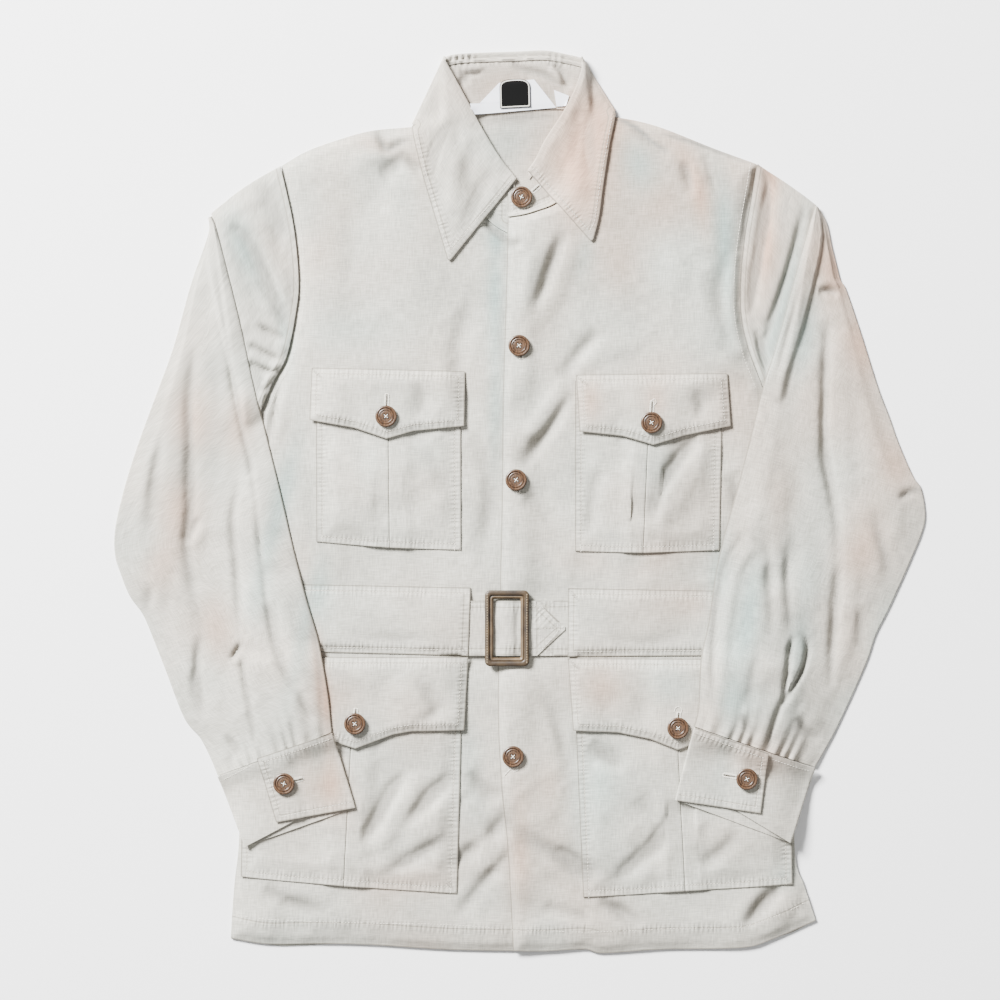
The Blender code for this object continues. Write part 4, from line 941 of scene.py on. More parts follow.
def stone_poplin(name, base, warm, cool, settings):
    """Cotton and polyester poplin, plain woven and piece dyed: matt and even, with the
    faint cross of its threads, slightly thick and thin, and warm and cool tints in patches.
    Shade is painted into the creases, along the edges and in the stitched grooves, and broad
    areas are painted paler and darker for uneven light."""
    made, tree, shader = new_material(name)
    weave = attribute(tree, "weave", "Vector")
    edge, run, rim = (attribute(tree, key) for key in ("edge", "run", "rim"))

    # Threads lie 0.3 mm apart, too fine to show, so the slubs are drawn 0.9 mm wide
    slub = settings.slub_width * MM
    threads_seen = []
    for rates in ((1 / slub, 0.07 / slub, 0), (0.07 / slub, 1 / slub, 0)):
        place = node(tree, "ShaderNodeVectorMath", {0: weave, 1: rates}, operation="MULTIPLY").outputs[0]
        threads_seen.append(noise(tree, place, 1.0, 2.0))
    cross = maths(tree, "ADD", *threads_seen)
    colour = mix(tree, attribute(tree, "warm"), base, warm)
    colour = mix(tree, attribute(tree, "cool"), colour, cool)
    # Painted shade: the bottoms of the lasting creases are mixed towards grey
    colour = mix(tree, maths(tree, "MULTIPLY", attribute(tree, "shade"), 0.6), colour, linear("#7D7A73"))
    shade = spread(tree, cross, 0.75, 1.25, 0.74, 1.14)
    # Painted light and shade: areas of 5 to 10 cm are made slightly paler and darker, for uneven lighting
    shade = maths(tree, "MULTIPLY", shade, spread(tree, noise(tree, weave, 13.0, 2.0), 0.3, 0.7, 0.87, 1.08))
    grey = node(tree, "ShaderNodeCombineColor", {0: shade, 1: shade, 2: shade}).outputs[0]
    colour = mix(tree, 1.0, colour, grey, "MULTIPLY")
    # The stitched line: a shallow groove that pulls the cloth into short puckers
    off = maths(tree, "ABSOLUTE", maths(tree, "SUBTRACT", edge, settings.stitch_margin))
    groove = spread(tree, off, 0.1, 1.1, 0.75, 0.0, "SMOOTHSTEP")
    # Painted shade: the groove is darkened towards grey along the stitch line
    colour = mix(tree, maths(tree, "MULTIPLY", groove, 0.8), colour, linear("#7F796D"))
    # Painted shade: the very edge, where the cloth is folded under, is darkened into a thin line for the
    # shadow along it
    colour = mix(tree, spread(tree, rim, 0.3, 1.5, 0.75, 0.0, "SMOOTHSTEP"), colour, linear("#625C52"))
    tree.links.new(colour, shader.inputs["Base Color"])
    shader.inputs["Roughness"].default_value = 0.82
    shader.inputs["IOR"].default_value = 1.5
    shader.inputs["Specular IOR Level"].default_value = 0.25
    shader.inputs["Sheen Weight"].default_value = 0.08
    shader.inputs["Sheen Roughness"].default_value = 0.5

    # Puckers every 4 to 5 mm across the stitched band
    place = node(tree, "ShaderNodeCombineXYZ", {0: run, 1: maths(tree, "MULTIPLY", edge, 0.3)}).outputs[0]
    drift = noise(tree, place, 0.11, 1.0)
    phase = maths(tree, "ADD", maths(tree, "MULTIPLY", run, 1.42), maths(tree, "MULTIPLY", drift, 9.0))
    wave = maths(tree, "MULTIPLY", maths(tree, "SINE", phase), drift)
    band = spread(tree, off, 1.0, 7.0, 1.0, 0.0, "SMOOTHSTEP")
    puckers = maths(tree, "MULTIPLY", maths(tree, "MULTIPLY", wave, band), attribute(tree, "calm"))
    soft = maths(tree, "MULTIPLY", noise(tree, weave, 95.0, 3.0), 0.7)
    relief = maths(tree, "ADD", maths(tree, "MULTIPLY", cross, 0.08), soft)
    relief = maths(tree, "ADD", relief, maths(tree, "MULTIPLY", puckers, 0.4))
    relief = maths(tree, "SUBTRACT", relief, maths(tree, "MULTIPLY", groove, 0.25))
    bump = node(tree, "ShaderNodeBump", {"Height": relief, "Strength": 0.8, "Distance": 1 * MM})
    tree.links.new(bump.outputs[0], shader.inputs["Normal"])
    return made


def plain_material(name, colour, roughness, ior, sheen=0.0):
    made, _, shader = new_material(name)
    shader.inputs["Base Color"].default_value = colour
    shader.inputs["Roughness"].default_value = roughness
    shader.inputs["IOR"].default_value = ior
    shader.inputs["Sheen Weight"].default_value = sheen
    return made


def horn_resin(name, pale, dark):
    """Cast polyester resin that imitates horn, turned and tumbled: cloudy brown streaks
    under a low polish."""
    made, tree, shader = new_material(name)
    place = node(tree, "ShaderNodeTexCoord").outputs["Object"]
    stretched = node(tree, "ShaderNodeMapping", {"Vector": place, "Scale": (900, 240, 400)}).outputs[0]
    grain = {"Vector": stretched, "Scale": 1.0, "Detail": 3.0, "Distortion": 0.8}
    cloud = node(tree, "ShaderNodeTexNoise", grain).outputs["Fac"]
    tree.links.new(mix(tree, spread(tree, cloud, 0.3, 0.7), dark, pale), shader.inputs["Base Color"])
    shader.inputs["Roughness"].default_value = 0.36
    shader.inputs["IOR"].default_value = 1.55
    return made


def wrapped_leather(name, pale, dark):
    """Thin cowhide glued round the frame: a fine grain, satin, mottled between its pale and dark colours."""
    made, tree, shader = new_material(name)
    place = node(tree, "ShaderNodeTexCoord").outputs["Object"]
    grain = node(tree, "ShaderNodeTexNoise", {"Vector": place, "Scale": 520.0, "Detail": 4.0})
    rub = spread(tree, noise(tree, place, 70.0, 3.0), 0.35, 0.7)
    tree.links.new(mix(tree, rub, dark, pale), shader.inputs["Base Color"])
    relief = {"Height": grain.outputs["Fac"], "Strength": 0.5, "Distance": 0.3 * MM}
    bump = node(tree, "ShaderNodeBump", relief)
    tree.links.new(bump.outputs[0], shader.inputs["Normal"])
    shader.inputs["Roughness"].default_value = 0.5
    shader.inputs["IOR"].default_value = 1.5
    return made


def woven_label(name, ground, border):
    """Damask-woven tape: a smooth dark ground with a thin pale woven border."""
    made, tree, shader = new_material(name)
    off = maths(tree, "ABSOLUTE", maths(tree, "SUBTRACT", attribute(tree, "edge"), 1.1))
    share = spread(tree, off, 0.3, 0.55, 1.0, 0.0)
    tree.links.new(mix(tree, share, ground, border), shader.inputs["Base Color"])
    shader.inputs["Roughness"].default_value = 0.85
    shader.inputs["Specular IOR Level"].default_value = 0.1
    return made


LOOKS = {}
FIELDS = {}


def prepare():
    """The materials and the uneven fields that all pieces share."""
    cloth = bpy.context.scene.jacket_cloth
    base, warm, cool = ((*cloth.stone, 1.0), (*cloth.warm, 1.0), (*cloth.cool, 1.0))
    LOOKS["cloth"] = stone_poplin("stone_poplin", base, warm, cool, cloth)
    LOOKS["thread"] = plain_material("polyester_sewing_thread", linear("#DDD8CC"), 0.6, 1.5, 0.2)
    LOOKS["white"] = plain_material("white_satin_tape", linear("#DFE1E8"), 0.5, 1.5, 0.3)
    LOOKS["label"] = woven_label("damask_label", linear("#060606"), linear("#C8C5BC"))
    LOOKS["buckle_thread"] = plain_material("waxed_linen_thread", linear("#C4B08F"), 0.55, 1.5, 0.2)
    LOOKS["leather"] = wrapped_leather("wrapped_cowhide", linear("#433420"), linear("#251B11"))
    LOOKS["rubbed_leather"] = wrapped_leather("pale_bevel_cowhide", linear("#625039"), linear("#433524"))
    # The slots of the buttonholes are painted dark as their shade
    LOOKS["slot"] = plain_material("shaded_slot", linear("#3E382F"), 0.9, 1.5)
    LOOKS["button"] = horn_resin("horn_resin", linear("#5A412D"), linear("#291B11"))
    LOOKS["white_thread"] = plain_material("white_button_thread", linear("#E6E2D8"), 0.6, 1.5, 0.2)
    broad, middle, small = rumple(3, 24), rumple(5, 9), rumple(8, 4)
    uneven = (2.4 * broad + 3.2 * middle + 1.5 * small + 2.2 * crumple(11, 20) + 2.4 * crumple(13, 9)
              + 1.0 * crumple(17, 4))
    for name, table, share in (
        ("body", BODY_FOLDS, 1.0), ("sleeve_left", SLEEVE_FOLDS["left"], 1.0),
        ("sleeve_right", SLEEVE_FOLDS["right"], 1.0), ("head", HEAD_FOLDS, 0.8),
        ("collar", COLLAR_FOLDS, 0.25),
    ):
        folds = fold_field(table)
        relief = folds + share * uneven
        FIELDS[name] = np.where(relief > 0, HIGHEST_FOLD * np.tanh(relief / HIGHEST_FOLD), relief)
        # The troughs of the folds are also painted with shade
        FIELDS["shade " + name] = np.clip(-folds / SHADED_DEPTH, 0, 1)
    ys, xs = np.mgrid[0:FIELD, 0:FIELD]
    taut = np.exp(-((xs - 512) / 62) ** 6) * np.exp(-((ys - BELT_MIDDLE) / 42) ** 6)
    FIELDS["body"] *= 1 - 0.8 * taut
    # Painted shade along the tucks and the seam at the shoulders
    FIELDS["shade body"] += 0.25 * fold_field(SHOULDER_LINES)
    FIELDS["collar"] += neck_gathers()
    # Painted shade between the gathers at the neck
    FIELDS["shade collar"] += np.clip(-neck_gathers(), 0, 1)
    # Painted shade inside the neck and on the back just below it
    FIELDS["shade collar"] += 0.5 * np.exp(-((xs - 512) / 66) ** 4 - ((ys - 84) / 26) ** 4)
    FIELDS["shade body"] += 0.4 * np.exp(-((xs - 515) / 40) ** 4 - ((ys - 135) / 30) ** 4)
    drift = 0.35 * middle + 0.35 * broad
    for name, table, sign in (("warm", WARM_PATCHES, 1), ("cool", COOL_PATCHES, -1)):
        patches = MOST_TINT * tint_field(table) * (0.9 + sign * 0.9 * middle)
        FIELDS[name] = np.clip(patches + sign * drift, 0, MOST_TINT)


# Pieces

def collar_lines(kinds, count):
    """Seam, roll and outer edge of one part of the collar."""
    rows = [row for row in COLLAR if row[0] in kinds]
    return [curve([(row[k], row[k + 1]) for row in rows], count) for k in (1, 3, 5)]


def body_plan(side, armhole, placket, neck, hem, shoulder):
    low = int(530 / BODY_SPACING)
    high = int(290 / BODY_SPACING)
    across = int(285 / BODY_SPACING)
    outer = np.vstack([curve(side, low)[:-1], curve(armhole, high + 1)])
    placket = curve(placket, 400)
    split = int(np.argmin(np.abs(placket[:, 1] - side[-1][1])))
    upper = np.vstack([placket[split:], curve(neck, 120)])
    inner = np.vstack([resample(placket[:split + 1], low)[:-1], resample(upper, high + 1)])
    return patch(outer, inner, curve(hem, across), curve(shoulder, across))


def make_back():
    """The back panel, flat on its outer side and plain where it is hidden."""
    low, high = 84, 48
    left = np.vstack([curve(SIDE_LEFT, low)[:-1], curve(ARMHOLE_LEFT, high + 1)])
    right = np.vstack([curve(SIDE_RIGHT, low)[:-1], curve(ARMHOLE_RIGHT, high + 1)])
    seam = collar_lines(("left fold", "back", "right fold"), 60)[0]
    top = np.vstack([curve(SHOULDER_LEFT, 60), seam, curve(SHOULDER_RIGHT, 60)[::-1]])
    plan = patch(left, right, curve(HEM_BACK, 116), resample(top, 116))
    inside = sample(soften(FIELDS["body"], 3), plan)
    neck_near = np.clip(1 - (plan[..., 1] - 110) / 90, 0, 1)
    neck_near = neck_near * np.clip(1 - np.abs(plan[..., 0] - 525) / 80, 0, 1)
    height = lie(plan, reach=4, ease=3) + np.maximum(inside, 0) * neck_near * 0.5
    deposit(plan, height)
    add_cloth("back_panel", solid_points(plan, height), plan)


def make_front(name, side, armhole, placket, neck, hem, shoulder):
    """One front, with the stitched groove FRONT_MARGIN further in, along the hem."""
    plan = body_plan(side, armhole, placket, neck, hem, shoulder)
    if name == "front_right":
        plan = plan[::-1]
    loft = FRONT_LOFT * fade_in(plan.shape, 10)
    height = lie(plan, reach=3, ease=2, solid=name)
    room = np.maximum(loft + sample(FIELDS["body"], plan) * fade_in(plan.shape, 3), 0)
    edge, run = line_distance(plan, [curve(hem, 60)])
    # The hem and the placket edge get the painted dark shade line
    rim = np.minimum(edge, line_distance(plan, [curve(placket, 50)])[0])
    height = height + room + pucker(edge, run, 0.6, 1.0, 20.0, 9.0)
    deposit(plan, height)
    add_cloth(name, solid_points(plan, height), plan, edge - FRONT_MARGIN, run, rim=rim)


def make_fronts_and_band():
    """Both fronts, the one at the right lapped over, and the collar band between them."""
    inset_ends = 1.2 * MM / PIXEL
    rows = 24

    def band_plan(kinds, count, ends=None, reverse=False):
        rows_used = [row for row in COLLAR if row[0] in kinds]
        seam, top = [], []
        for row in rows_used:
            s, r = np.array(row[1:3], float), np.array(row[3:5], float)
            seam.append(s)
            top.append(r + unit(s - r) * BAND_BELOW_ROLL)
        for x1, y1, x2, y2 in ends or []:
            seam.insert(0, np.array((x1, y1))) if not reverse else seam.append(np.array((x1, y1)))
            top.insert(0, np.array((x2, y2))) if not reverse else top.append(np.array((x2, y2)))
        seam, top = curve(seam, count), curve(top, count)
        seam = seam + unit(top - seam) * 0.5
        return between(seam, top, rows)

    back = band_plan(("left fold", "back", "right fold"), 72)
    back[0, :, 0] += inset_ends
    back[-1, :, 0] -= inset_ends
    rise = np.linspace(0, 0.9, rows)[None, :] + 0 * back[..., 0]
    edge, run = line_distance(back, [back[:, -1]])
    folds = sample(FIELDS["collar"], back) * fade_in(back.shape, 3)
    room = rise + np.maximum(1.3 * folds + 1.2, 0) + pucker(edge, run, 0.8, 0.4, 0.5, 4.0)
    back_height = settle(back, room, 2, 1)

    neck = [(534, 235), (521, 236)] + [row[1:3] for row in COLLAR if row[0] in ("left", "left fold")]
    make_front("front_left", SIDE_LEFT, ARMHOLE_LEFT, PLACKET_UNDER, neck, HEM_LEFT, SHOULDER_LEFT)
    sew("stitches_hem_left", [curve([(233, 915), (283, 920), (373, 923), (440, 924), (500, 928)], 160)])
    sew("stitches_armhole_left", [inset(curve(ARMHOLE_LEFT, 200), 6.5)])

    left_plan = band_plan(("left", "left fold"), 84, reversed(BAND_END_LEFT))
    left_plan[-1, :, 0] += inset_ends
    left_height = settle(left_plan, 0.15, 2, 1)

    neck = [(508, 217.5), (521, 215.5)]
    neck += [row[1:3] for row in COLLAR if row[0] in ("right fold", "right")][::-1]
    make_front("front_right", SIDE_RIGHT, ARMHOLE_RIGHT, PLACKET_TOP, neck, HEM_RIGHT[::-1],
               SHOULDER_RIGHT)
    sew("stitches_hem_right", [curve([(511, 929.5), (560, 931), (595, 931.6), (679, 928), (738, 927),
                                      (774, 916), (807, 902)], 160)])
    sew("stitches_armhole_right", [inset(curve(ARMHOLE_RIGHT, 200), -6.5)])

    right_plan = band_plan(("right fold", "right"), 84, BAND_END_RIGHT, reverse=True)
    right_plan[0, :, 0] -= inset_ends
    right_height = settle(right_plan, 0.3, 2, 1)

    band_left = solid_points(left_plan, left_height)
    band_back = solid_points(back, back_height)
    band_right = solid_points(right_plan, right_height)
    west, east = np.array([-1.0, 0, 0]), np.array([1.0, 0, 0])
    left_turn = turn_over(band_left[-1], band_back[0], west, 1.0, 5)
    right_turn = turn_over(band_back[-1], band_right[0], east, 1.0, 5)
    points = np.concatenate([band_left, left_turn, band_back, right_turn, band_right])
    plan = np.concatenate([left_plan, np.repeat(back[:1], 5, 0), back,
                           np.repeat(back[-1:], 5, 0), right_plan])
    edge, run = line_distance(plan, [back[:, -1] - (0, 5.5), inset(straight(
        [(508, 192), (508, 217.5), (530, 210), (554, 200.5)], 2), -0.1)])
    add_cloth("collar_band", points, plan, edge, run, rim=edge + 0.6, folds="collar")
    sew("stitches_band", [
        straight([(512, 196), (512, 212.5), (530, 206), (550, 198)], 2),
        inset(back[3:-3, -1], 1.6),
        curve([(505, 112), (530, 112.6), (549, 113.8), (560, 115)], 30),
    ])


def round_tip(plan, before, tip, after, radius):
    """The grid with its sharp corner drawn in to this radius."""
    first, last = unit(before - tip), unit(after - tip)
    half = math.acos(float(first @ last)) / 2
    middle = tip + unit(first + last) * radius / math.sin(half)
    away = plan - middle
    reach = np.maximum(np.linalg.norm(away, axis=-1), 1e-6)
    turn = np.arccos(np.clip(away @ unit(tip - middle) / reach, -1, 1))
    corner = math.pi / 2 - half
    border = radius / np.cos(np.minimum(np.abs(corner - turn), 1.5))
    inner = 0.4 * radius
    drawn = inner + (radius - inner) * (reach - inner) / np.maximum(border - inner, 1e-6)
    moved = middle + away / reach[..., None] * drawn[..., None]
    return np.where(((turn < corner) & (reach > inner))[..., None], moved, plan)


def make_leaf_under():
    """Plans of the collar leaf's three parts, and its outer layer behind the neck."""
    parts = {}
    for key, kinds, count in (
        ("left", ("left", "left fold"), 76),
        ("back", ("left fold", "back", "right fold"), 76),
        ("right", ("right fold", "right"), 70),
    ):
        seam, roll, edge = collar_lines(kinds, count)
        inward = unit(seam - roll)
        turn = roll + inward * 1.5
        parts[key] = {
            "inner": between(roll + inward * COLLAR_BELOW_ROLL, turn, 5),
            "outer": between(turn, edge, 46),
            "outward": np.column_stack([-inward[:, 0], inward[:, 1], np.zeros(count)]),
        }
    for key, index, step in (("left", 0, 3), ("right", -1, -4)):
        grid = parts[key]["outer"]
        parts[key]["outer"] = round_tip(grid, grid[index, -5], grid[index, -1], grid[step, -1], 2.3)
    side = SIDE_REACH * MM / PIXEL
    parts["left"]["outer"][-1, :, 0] += side
    parts["right"]["outer"][0, :, 0] -= side
    parts["back"]["outer"][0, :, 0] += side
    parts["back"]["outer"][-1, :, 0] -= side
    for key, sign, index in (("left", 1, -1), ("back", 1, 0), ("back", -1, -1), ("right", -1, 0)):
        parts[key]["inner"][index, :, 0] += sign * 2.2 * MM / PIXEL
    plan = parts["back"]["outer"]
    parts["back"]["under"] = settle(plan, 0.0, 0, 0)
    return parts


def make_leaf(parts):
    """The collar leaf: rolled over the band, down onto the fronts and under the neck."""
    back = parts["back"]
    rise = np.linspace(0, 1.6, 5)[None, :] + 0 * back["inner"][..., 0]
    edge = line_distance(back["inner"], [back["inner"][:, 0]])[0]
    rise = rise + np.clip(edge / 4, 0, 1) * np.maximum(sample(FIELDS["collar"], back["inner"]) + 0.6, 0)
    inner_back = settle(back["inner"], rise, 1, 0)
    pieces = {}

    def join(part, inner, outer):
        low, high = solid_points(part["inner"], inner), solid_points(part["outer"], outer)
        arc = turn_over(low[:, -1], high[:, 0], part["outward"], 1.4, 6)
        return np.concatenate([low, np.moveaxis(arc, 0, 1), high], axis=1)

    pieces["back"] = join(back, inner_back, back["under"])
    for key in ("left", "right"):
        part = parts[key]
        inner = settle(part["inner"], 0.0, 2, 0)
        j = np.arange(part["outer"].shape[1])[None, :]
        folds = sample(FIELDS["collar"], part["outer"]) * fade_in(part["outer"].shape, 4)
        rim = np.vstack([part["outer"][::-1, -1], part["outer"][0, ::-1]]) if key == "left" else \
            np.vstack([part["outer"][:, -1], part["outer"][-1, ::-1]])
        edge, run = line_distance(part["outer"], [rim])
        part["edge"], part["run"] = edge, run
        room = 0.9 * np.exp(-j / 6) + 0.4 + np.maximum(folds + 0.4, 0) + 0.8 * (j / 45) ** 4
        ridge, seed = (0.35, 0.7) if key == "left" else (0.75, 1.9)
        room = room + pucker(edge, run, ridge, seed, 3.4, 3.6)
        outer = settle(part["outer"], room, 3, 2)
        pieces[key] = join(part, inner, outer)

    rows = pieces["back"].shape[1]
    reach = np.concatenate([np.linspace(1.3, 2.6, 11), np.full(rows - 11, SIDE_REACH)])[:, None]

    def side_turn(first, last, roll, edge, sign):
        way = np.array([edge[0] - roll[0], -(edge[1] - roll[1]), 0.0])
        way /= np.linalg.norm(way)
        return turn_over(first, last, np.array([way[1], -way[0], 0.0]) * sign, reach, 9)

    left_row = next(row for row in COLLAR if row[0] == "left fold")
    right_row = next(row for row in COLLAR if row[0] == "right fold")
    left_turn = side_turn(pieces["left"][-1], pieces["back"][0], left_row[3:5], left_row[5:7], 1)
    right_turn = side_turn(pieces["back"][-1], pieces["right"][0], right_row[3:5], right_row[5:7], -1)
    points = np.concatenate([pieces["left"], left_turn, pieces["back"], right_turn, pieces["right"]])
    plan = plan_of(points)
    edge, run = np.full(plan.shape[:2], 60.0), np.zeros(plan.shape[:2])
    edge[:76, 11:], run[:76, 11:] = parts["left"]["edge"], parts["left"]["run"]
    edge[-70:, 11:], run[-70:, 11:] = parts["right"]["edge"], parts["right"]["run"]
    add_cloth("collar_leaf", points, plan, edge, run, folds="collar")
    sew("stitches_collar", [
        straight([(417.5, 134), (424, 166), (436, 206), (444, 236), (450.5, 250), (512, 179)], 2),
        straight([(612, 118), (603, 166), (597.5, 200), (594.5, 222), (589.5, 232), (533, 168)], 2),
    ])


def make_labels():
    """The white backing, the dark label with its plain border and the care label."""
    for name, corners, look, slot in (
        ("neck_label_backing", BACKING_CORNERS, "white", "label_cloth"),
        ("neck_label", LABEL_CORNERS, "label", "dark_label"),
        ("care_label", CARE_CORNERS, "white", "label_cloth"),
    ):
        a, b, c, d = [np.array(corner, float) for corner in corners]
        if name == "neck_label":
            top = curve([b, b + (0.8, -3), b + (3.2, -5.6), b + (8, -7.2), (b + c) / 2 + (0, -7.6),
                         c + (-8, -7.2), c + (-3.2, -5.6), c + (-0.8, -3), c], 22)
        else:
            top = resample(np.array([b, c]), 22)
        bottom = resample(np.array([a, d]), 22)
        left, right = resample(np.array([a, b]), 22), resample(np.array([d, c]), 22)
        if name == "neck_label_backing":
            left = resample(np.array([a, (470.5, 109), (470, 103.5), (478, 105), b]), 22)
        plan = patch(left, right, bottom, top)
        edge, run = line_distance(plan, [np.vstack([left, top, right[::-1], bottom[::-1]])])
        height = settle(plan, 0.1, 1, 1)
        add_cloth(name, solid_points(plan, height), plan, edge, run, LOOKS[look], slot, 0.4)


def make_casings():
    """Two panels that the belt runs through, open at the mouth."""
    for name, values in CASINGS.items():
        tl, tr, bl, br = [np.array(values[k:k + 2], float) for k in range(0, 8, 2)]
        across, rows = 112, 36
        plan = between(resample(np.array([bl, br]), across), resample(np.array([tl, tr]), across), rows)
        top, bottom = straight([tl, tr], 4), straight([bl, br], 4)
        mouth = straight([tr, br] if "left" in name else [tl, bl], 4)
        edge, run = line_distance(plan, [top, bottom, mouth])
        room = np.maximum(sample(FIELDS["body"], plan) * 0.7 + 0.4, 0) * fade_in(plan.shape, 5)
        height = lie(plan, room + pucker(edge, run, 0.4, 1.1), 2, 6)
        # The long edges are sewn down on the front
        sewn = np.clip(line_distance(plan, [top, bottom])[0] / 9, 0, 1)
        resting = lie(plan, 0.0, 1, 0)
        height = np.maximum(resting, resting + (height - resting) * sewn * sewn * (3 - 2 * sewn))
        deposit(plan, height)
        add_cloth(name, solid_points(plan, height), plan, edge, run)
        sew("stitches_" + name, [top + (0, 6), bottom - (0, 5)])


def make_pockets():
    """Bags with an inverted box pleat, laid on the fronts and stitched round."""
    pitch = WALL + 0.2
    radius = pitch / 2
    meet = (GAP + WALL) / 2
    slope = PLEAT_DEPTH + 17
    for name, values in POCKETS.items():
        tl, tr, bl, br, top, bottom = [np.array(values[k:k + 2], float) for k in range(0, 12, 2)]
        rows = int(np.hypot(*(bl - tl)) / FINE_SPACING / 1.15)
        v = np.linspace(0, 1, rows)[:, None]
        middle = top + (bottom - top) * v
        profile = {}
        for side, edge_line in (("left", tl + (bl - tl) * v), ("right", tr + (br - tr) * v)):
            full = float(np.hypot(*(edge_line[0] - middle[0]))) * PIXEL / MM
            flat = np.linspace(full, slope, int((full - slope) / 2.1))
            half = [(a, 0.0) for a in flat]
            for step in range(1, 9):
                share = step / 8
                rise = 2 * pitch * share * share * (3 - 2 * share)
                half.append((slope + (PLEAT_DEPTH + 2 - slope) * share, rise))
            half += [(PLEAT_DEPTH + 2 - k * (PLEAT_DEPTH + 1) / 7, 2 * pitch) for k in range(1, 7)]
            turns = [math.radians(angle) for angle in (90, 54, 18, -18, -54, -90)]
            half += [(meet + radius - radius * math.cos(t), pitch + radius + radius * math.sin(t))
                     for t in turns]
            half += [(meet + radius + k * (PLEAT_DEPTH - 2 * radius - meet) / 4, pitch)
                     for k in range(1, 4)]
            half += [(PLEAT_DEPTH - radius + radius * math.cos(t), radius + radius * math.sin(t))
                     for t in turns]
            half += [(PLEAT_DEPTH - radius - k * (PLEAT_DEPTH - radius) / 4, 0.0) for k in range(1, 4)]
            columns = []
            for across, high in half:
                px = across * MM / PIXEL
                if across > PLEAT_DEPTH + 2:
                    point = base = middle + (edge_line - middle) * across / full
                else:
                    point, base = middle + unit(edge_line - middle) * px, middle
                columns.append((point, base, np.full(rows, high)))
            profile[side] = columns
        columns = profile["left"] + profile["right"][::-1]
        plan = np.stack([column[0] for column in columns])[:, ::-1]
        base = np.stack([column[1] for column in columns])[:, ::-1]
        high = np.stack([column[2] for column in columns])[:, ::-1]
        ground = swell(TOP, 4)
        lower = soften(sample(ground, base), 2) + GAP + WALL / 2
        lower = np.maximum(lower, sample(swell(TOP, 1), base) + GAP + WALL / 2)
        left_edge, right_edge = straight([tl, bl], 4), straight([tr, br], 4)
        bottom_edge = curve([bl, bl + (bottom - bl) * 0.5 + (0, 0.8), bottom,
                             br + (bottom - br) * 0.5 + (0, 0.6), br], 60)
        edge, run = line_distance(plan, [left_edge, bottom_edge, right_edge])
        folds = np.maximum(sample(FIELDS["body"], base) * 0.9 + 0.3, 0)
        folds = folds * np.clip((edge - 5) / 14, 0, 1) + pucker(edge, run, 0.35, values[0])
        height = lower + high + folds
        points = solid_points(plan, height)
        deposit(plan, height)
        add_cloth(name, points, plan, edge, run)
        lines = [np.vstack([left_edge + (6, 0), bottom_edge[2:-2] - (0, 6), (right_edge - (6, 0))[::-1]])]
        sew("stitches_" + name, lines)


def make_flaps():
    """Pointed flaps, stitched down at the top and standing off a little below."""
    for name, (left_top, right_top, low) in FLAPS.items():
        lower = straight(low, FINE_SPACING)
        share = (lower[:, 0] - lower[0, 0]) / (lower[-1, 0] - lower[0, 0])
        left_top, right_top = np.array(left_top, float), np.array(right_top, float)
        upper = left_top + (right_top - left_top) * share[:, None]
        rows = 34 if "chest" in name else 42
        plan = between(lower, upper, rows)
        border = np.vstack([straight([left_top, low[0]], 3)[:-1], lower,
                            straight([low[-1], right_top], 3)[1:]])
        edge, run = line_distance(plan, [border, straight([left_top, right_top], 4)])
        stand = np.linspace(1, 0, rows)[None, :] ** 2 * 1.6
        room = stand + np.maximum(sample(FIELDS["body"], plan) * 0.8 + 0.35, 0) * fade_in(plan.shape, 5)
        height = settle(plan, room + pucker(edge, run, 0.4, 0.3 * left_top[0]), 4, 3)
        add_cloth(name, solid_points(plan, height), plan, edge, run)
        inner = straight([left_top + (6, 8), np.array(low[0]) + (6, -5),
                          *[np.array(p) - (0, 6.4) for p in low[1:-1]],
                          np.array(low[-1]) + (-6, -5.5), right_top + (-6, 8)], 3)
        sew("stitches_" + name, [inner, straight([left_top + (1, 6), right_top + (-1, 6)], 4)])


def seamed(edge, plan, lines):
    """Edge distances that also put the stitched groove along these inner lines."""
    margin = bpy.context.scene.jacket_cloth.stitch_margin
    away = line_distance(plan, lines)[0]
    return np.where(away < np.abs(edge - margin), margin + away, edge)


def strip(path):
    """A grid along the belt from x, height and half width rows."""
    path = np.array(path, float)
    side = np.linspace(-1, 1, 31)
    plan = np.stack([np.column_stack([np.full(31, x), BELT_MIDDLE - side * half]) for x, _, half in path])
    return plan, path[:, 1][:, None] + 0 * plan[..., 0]


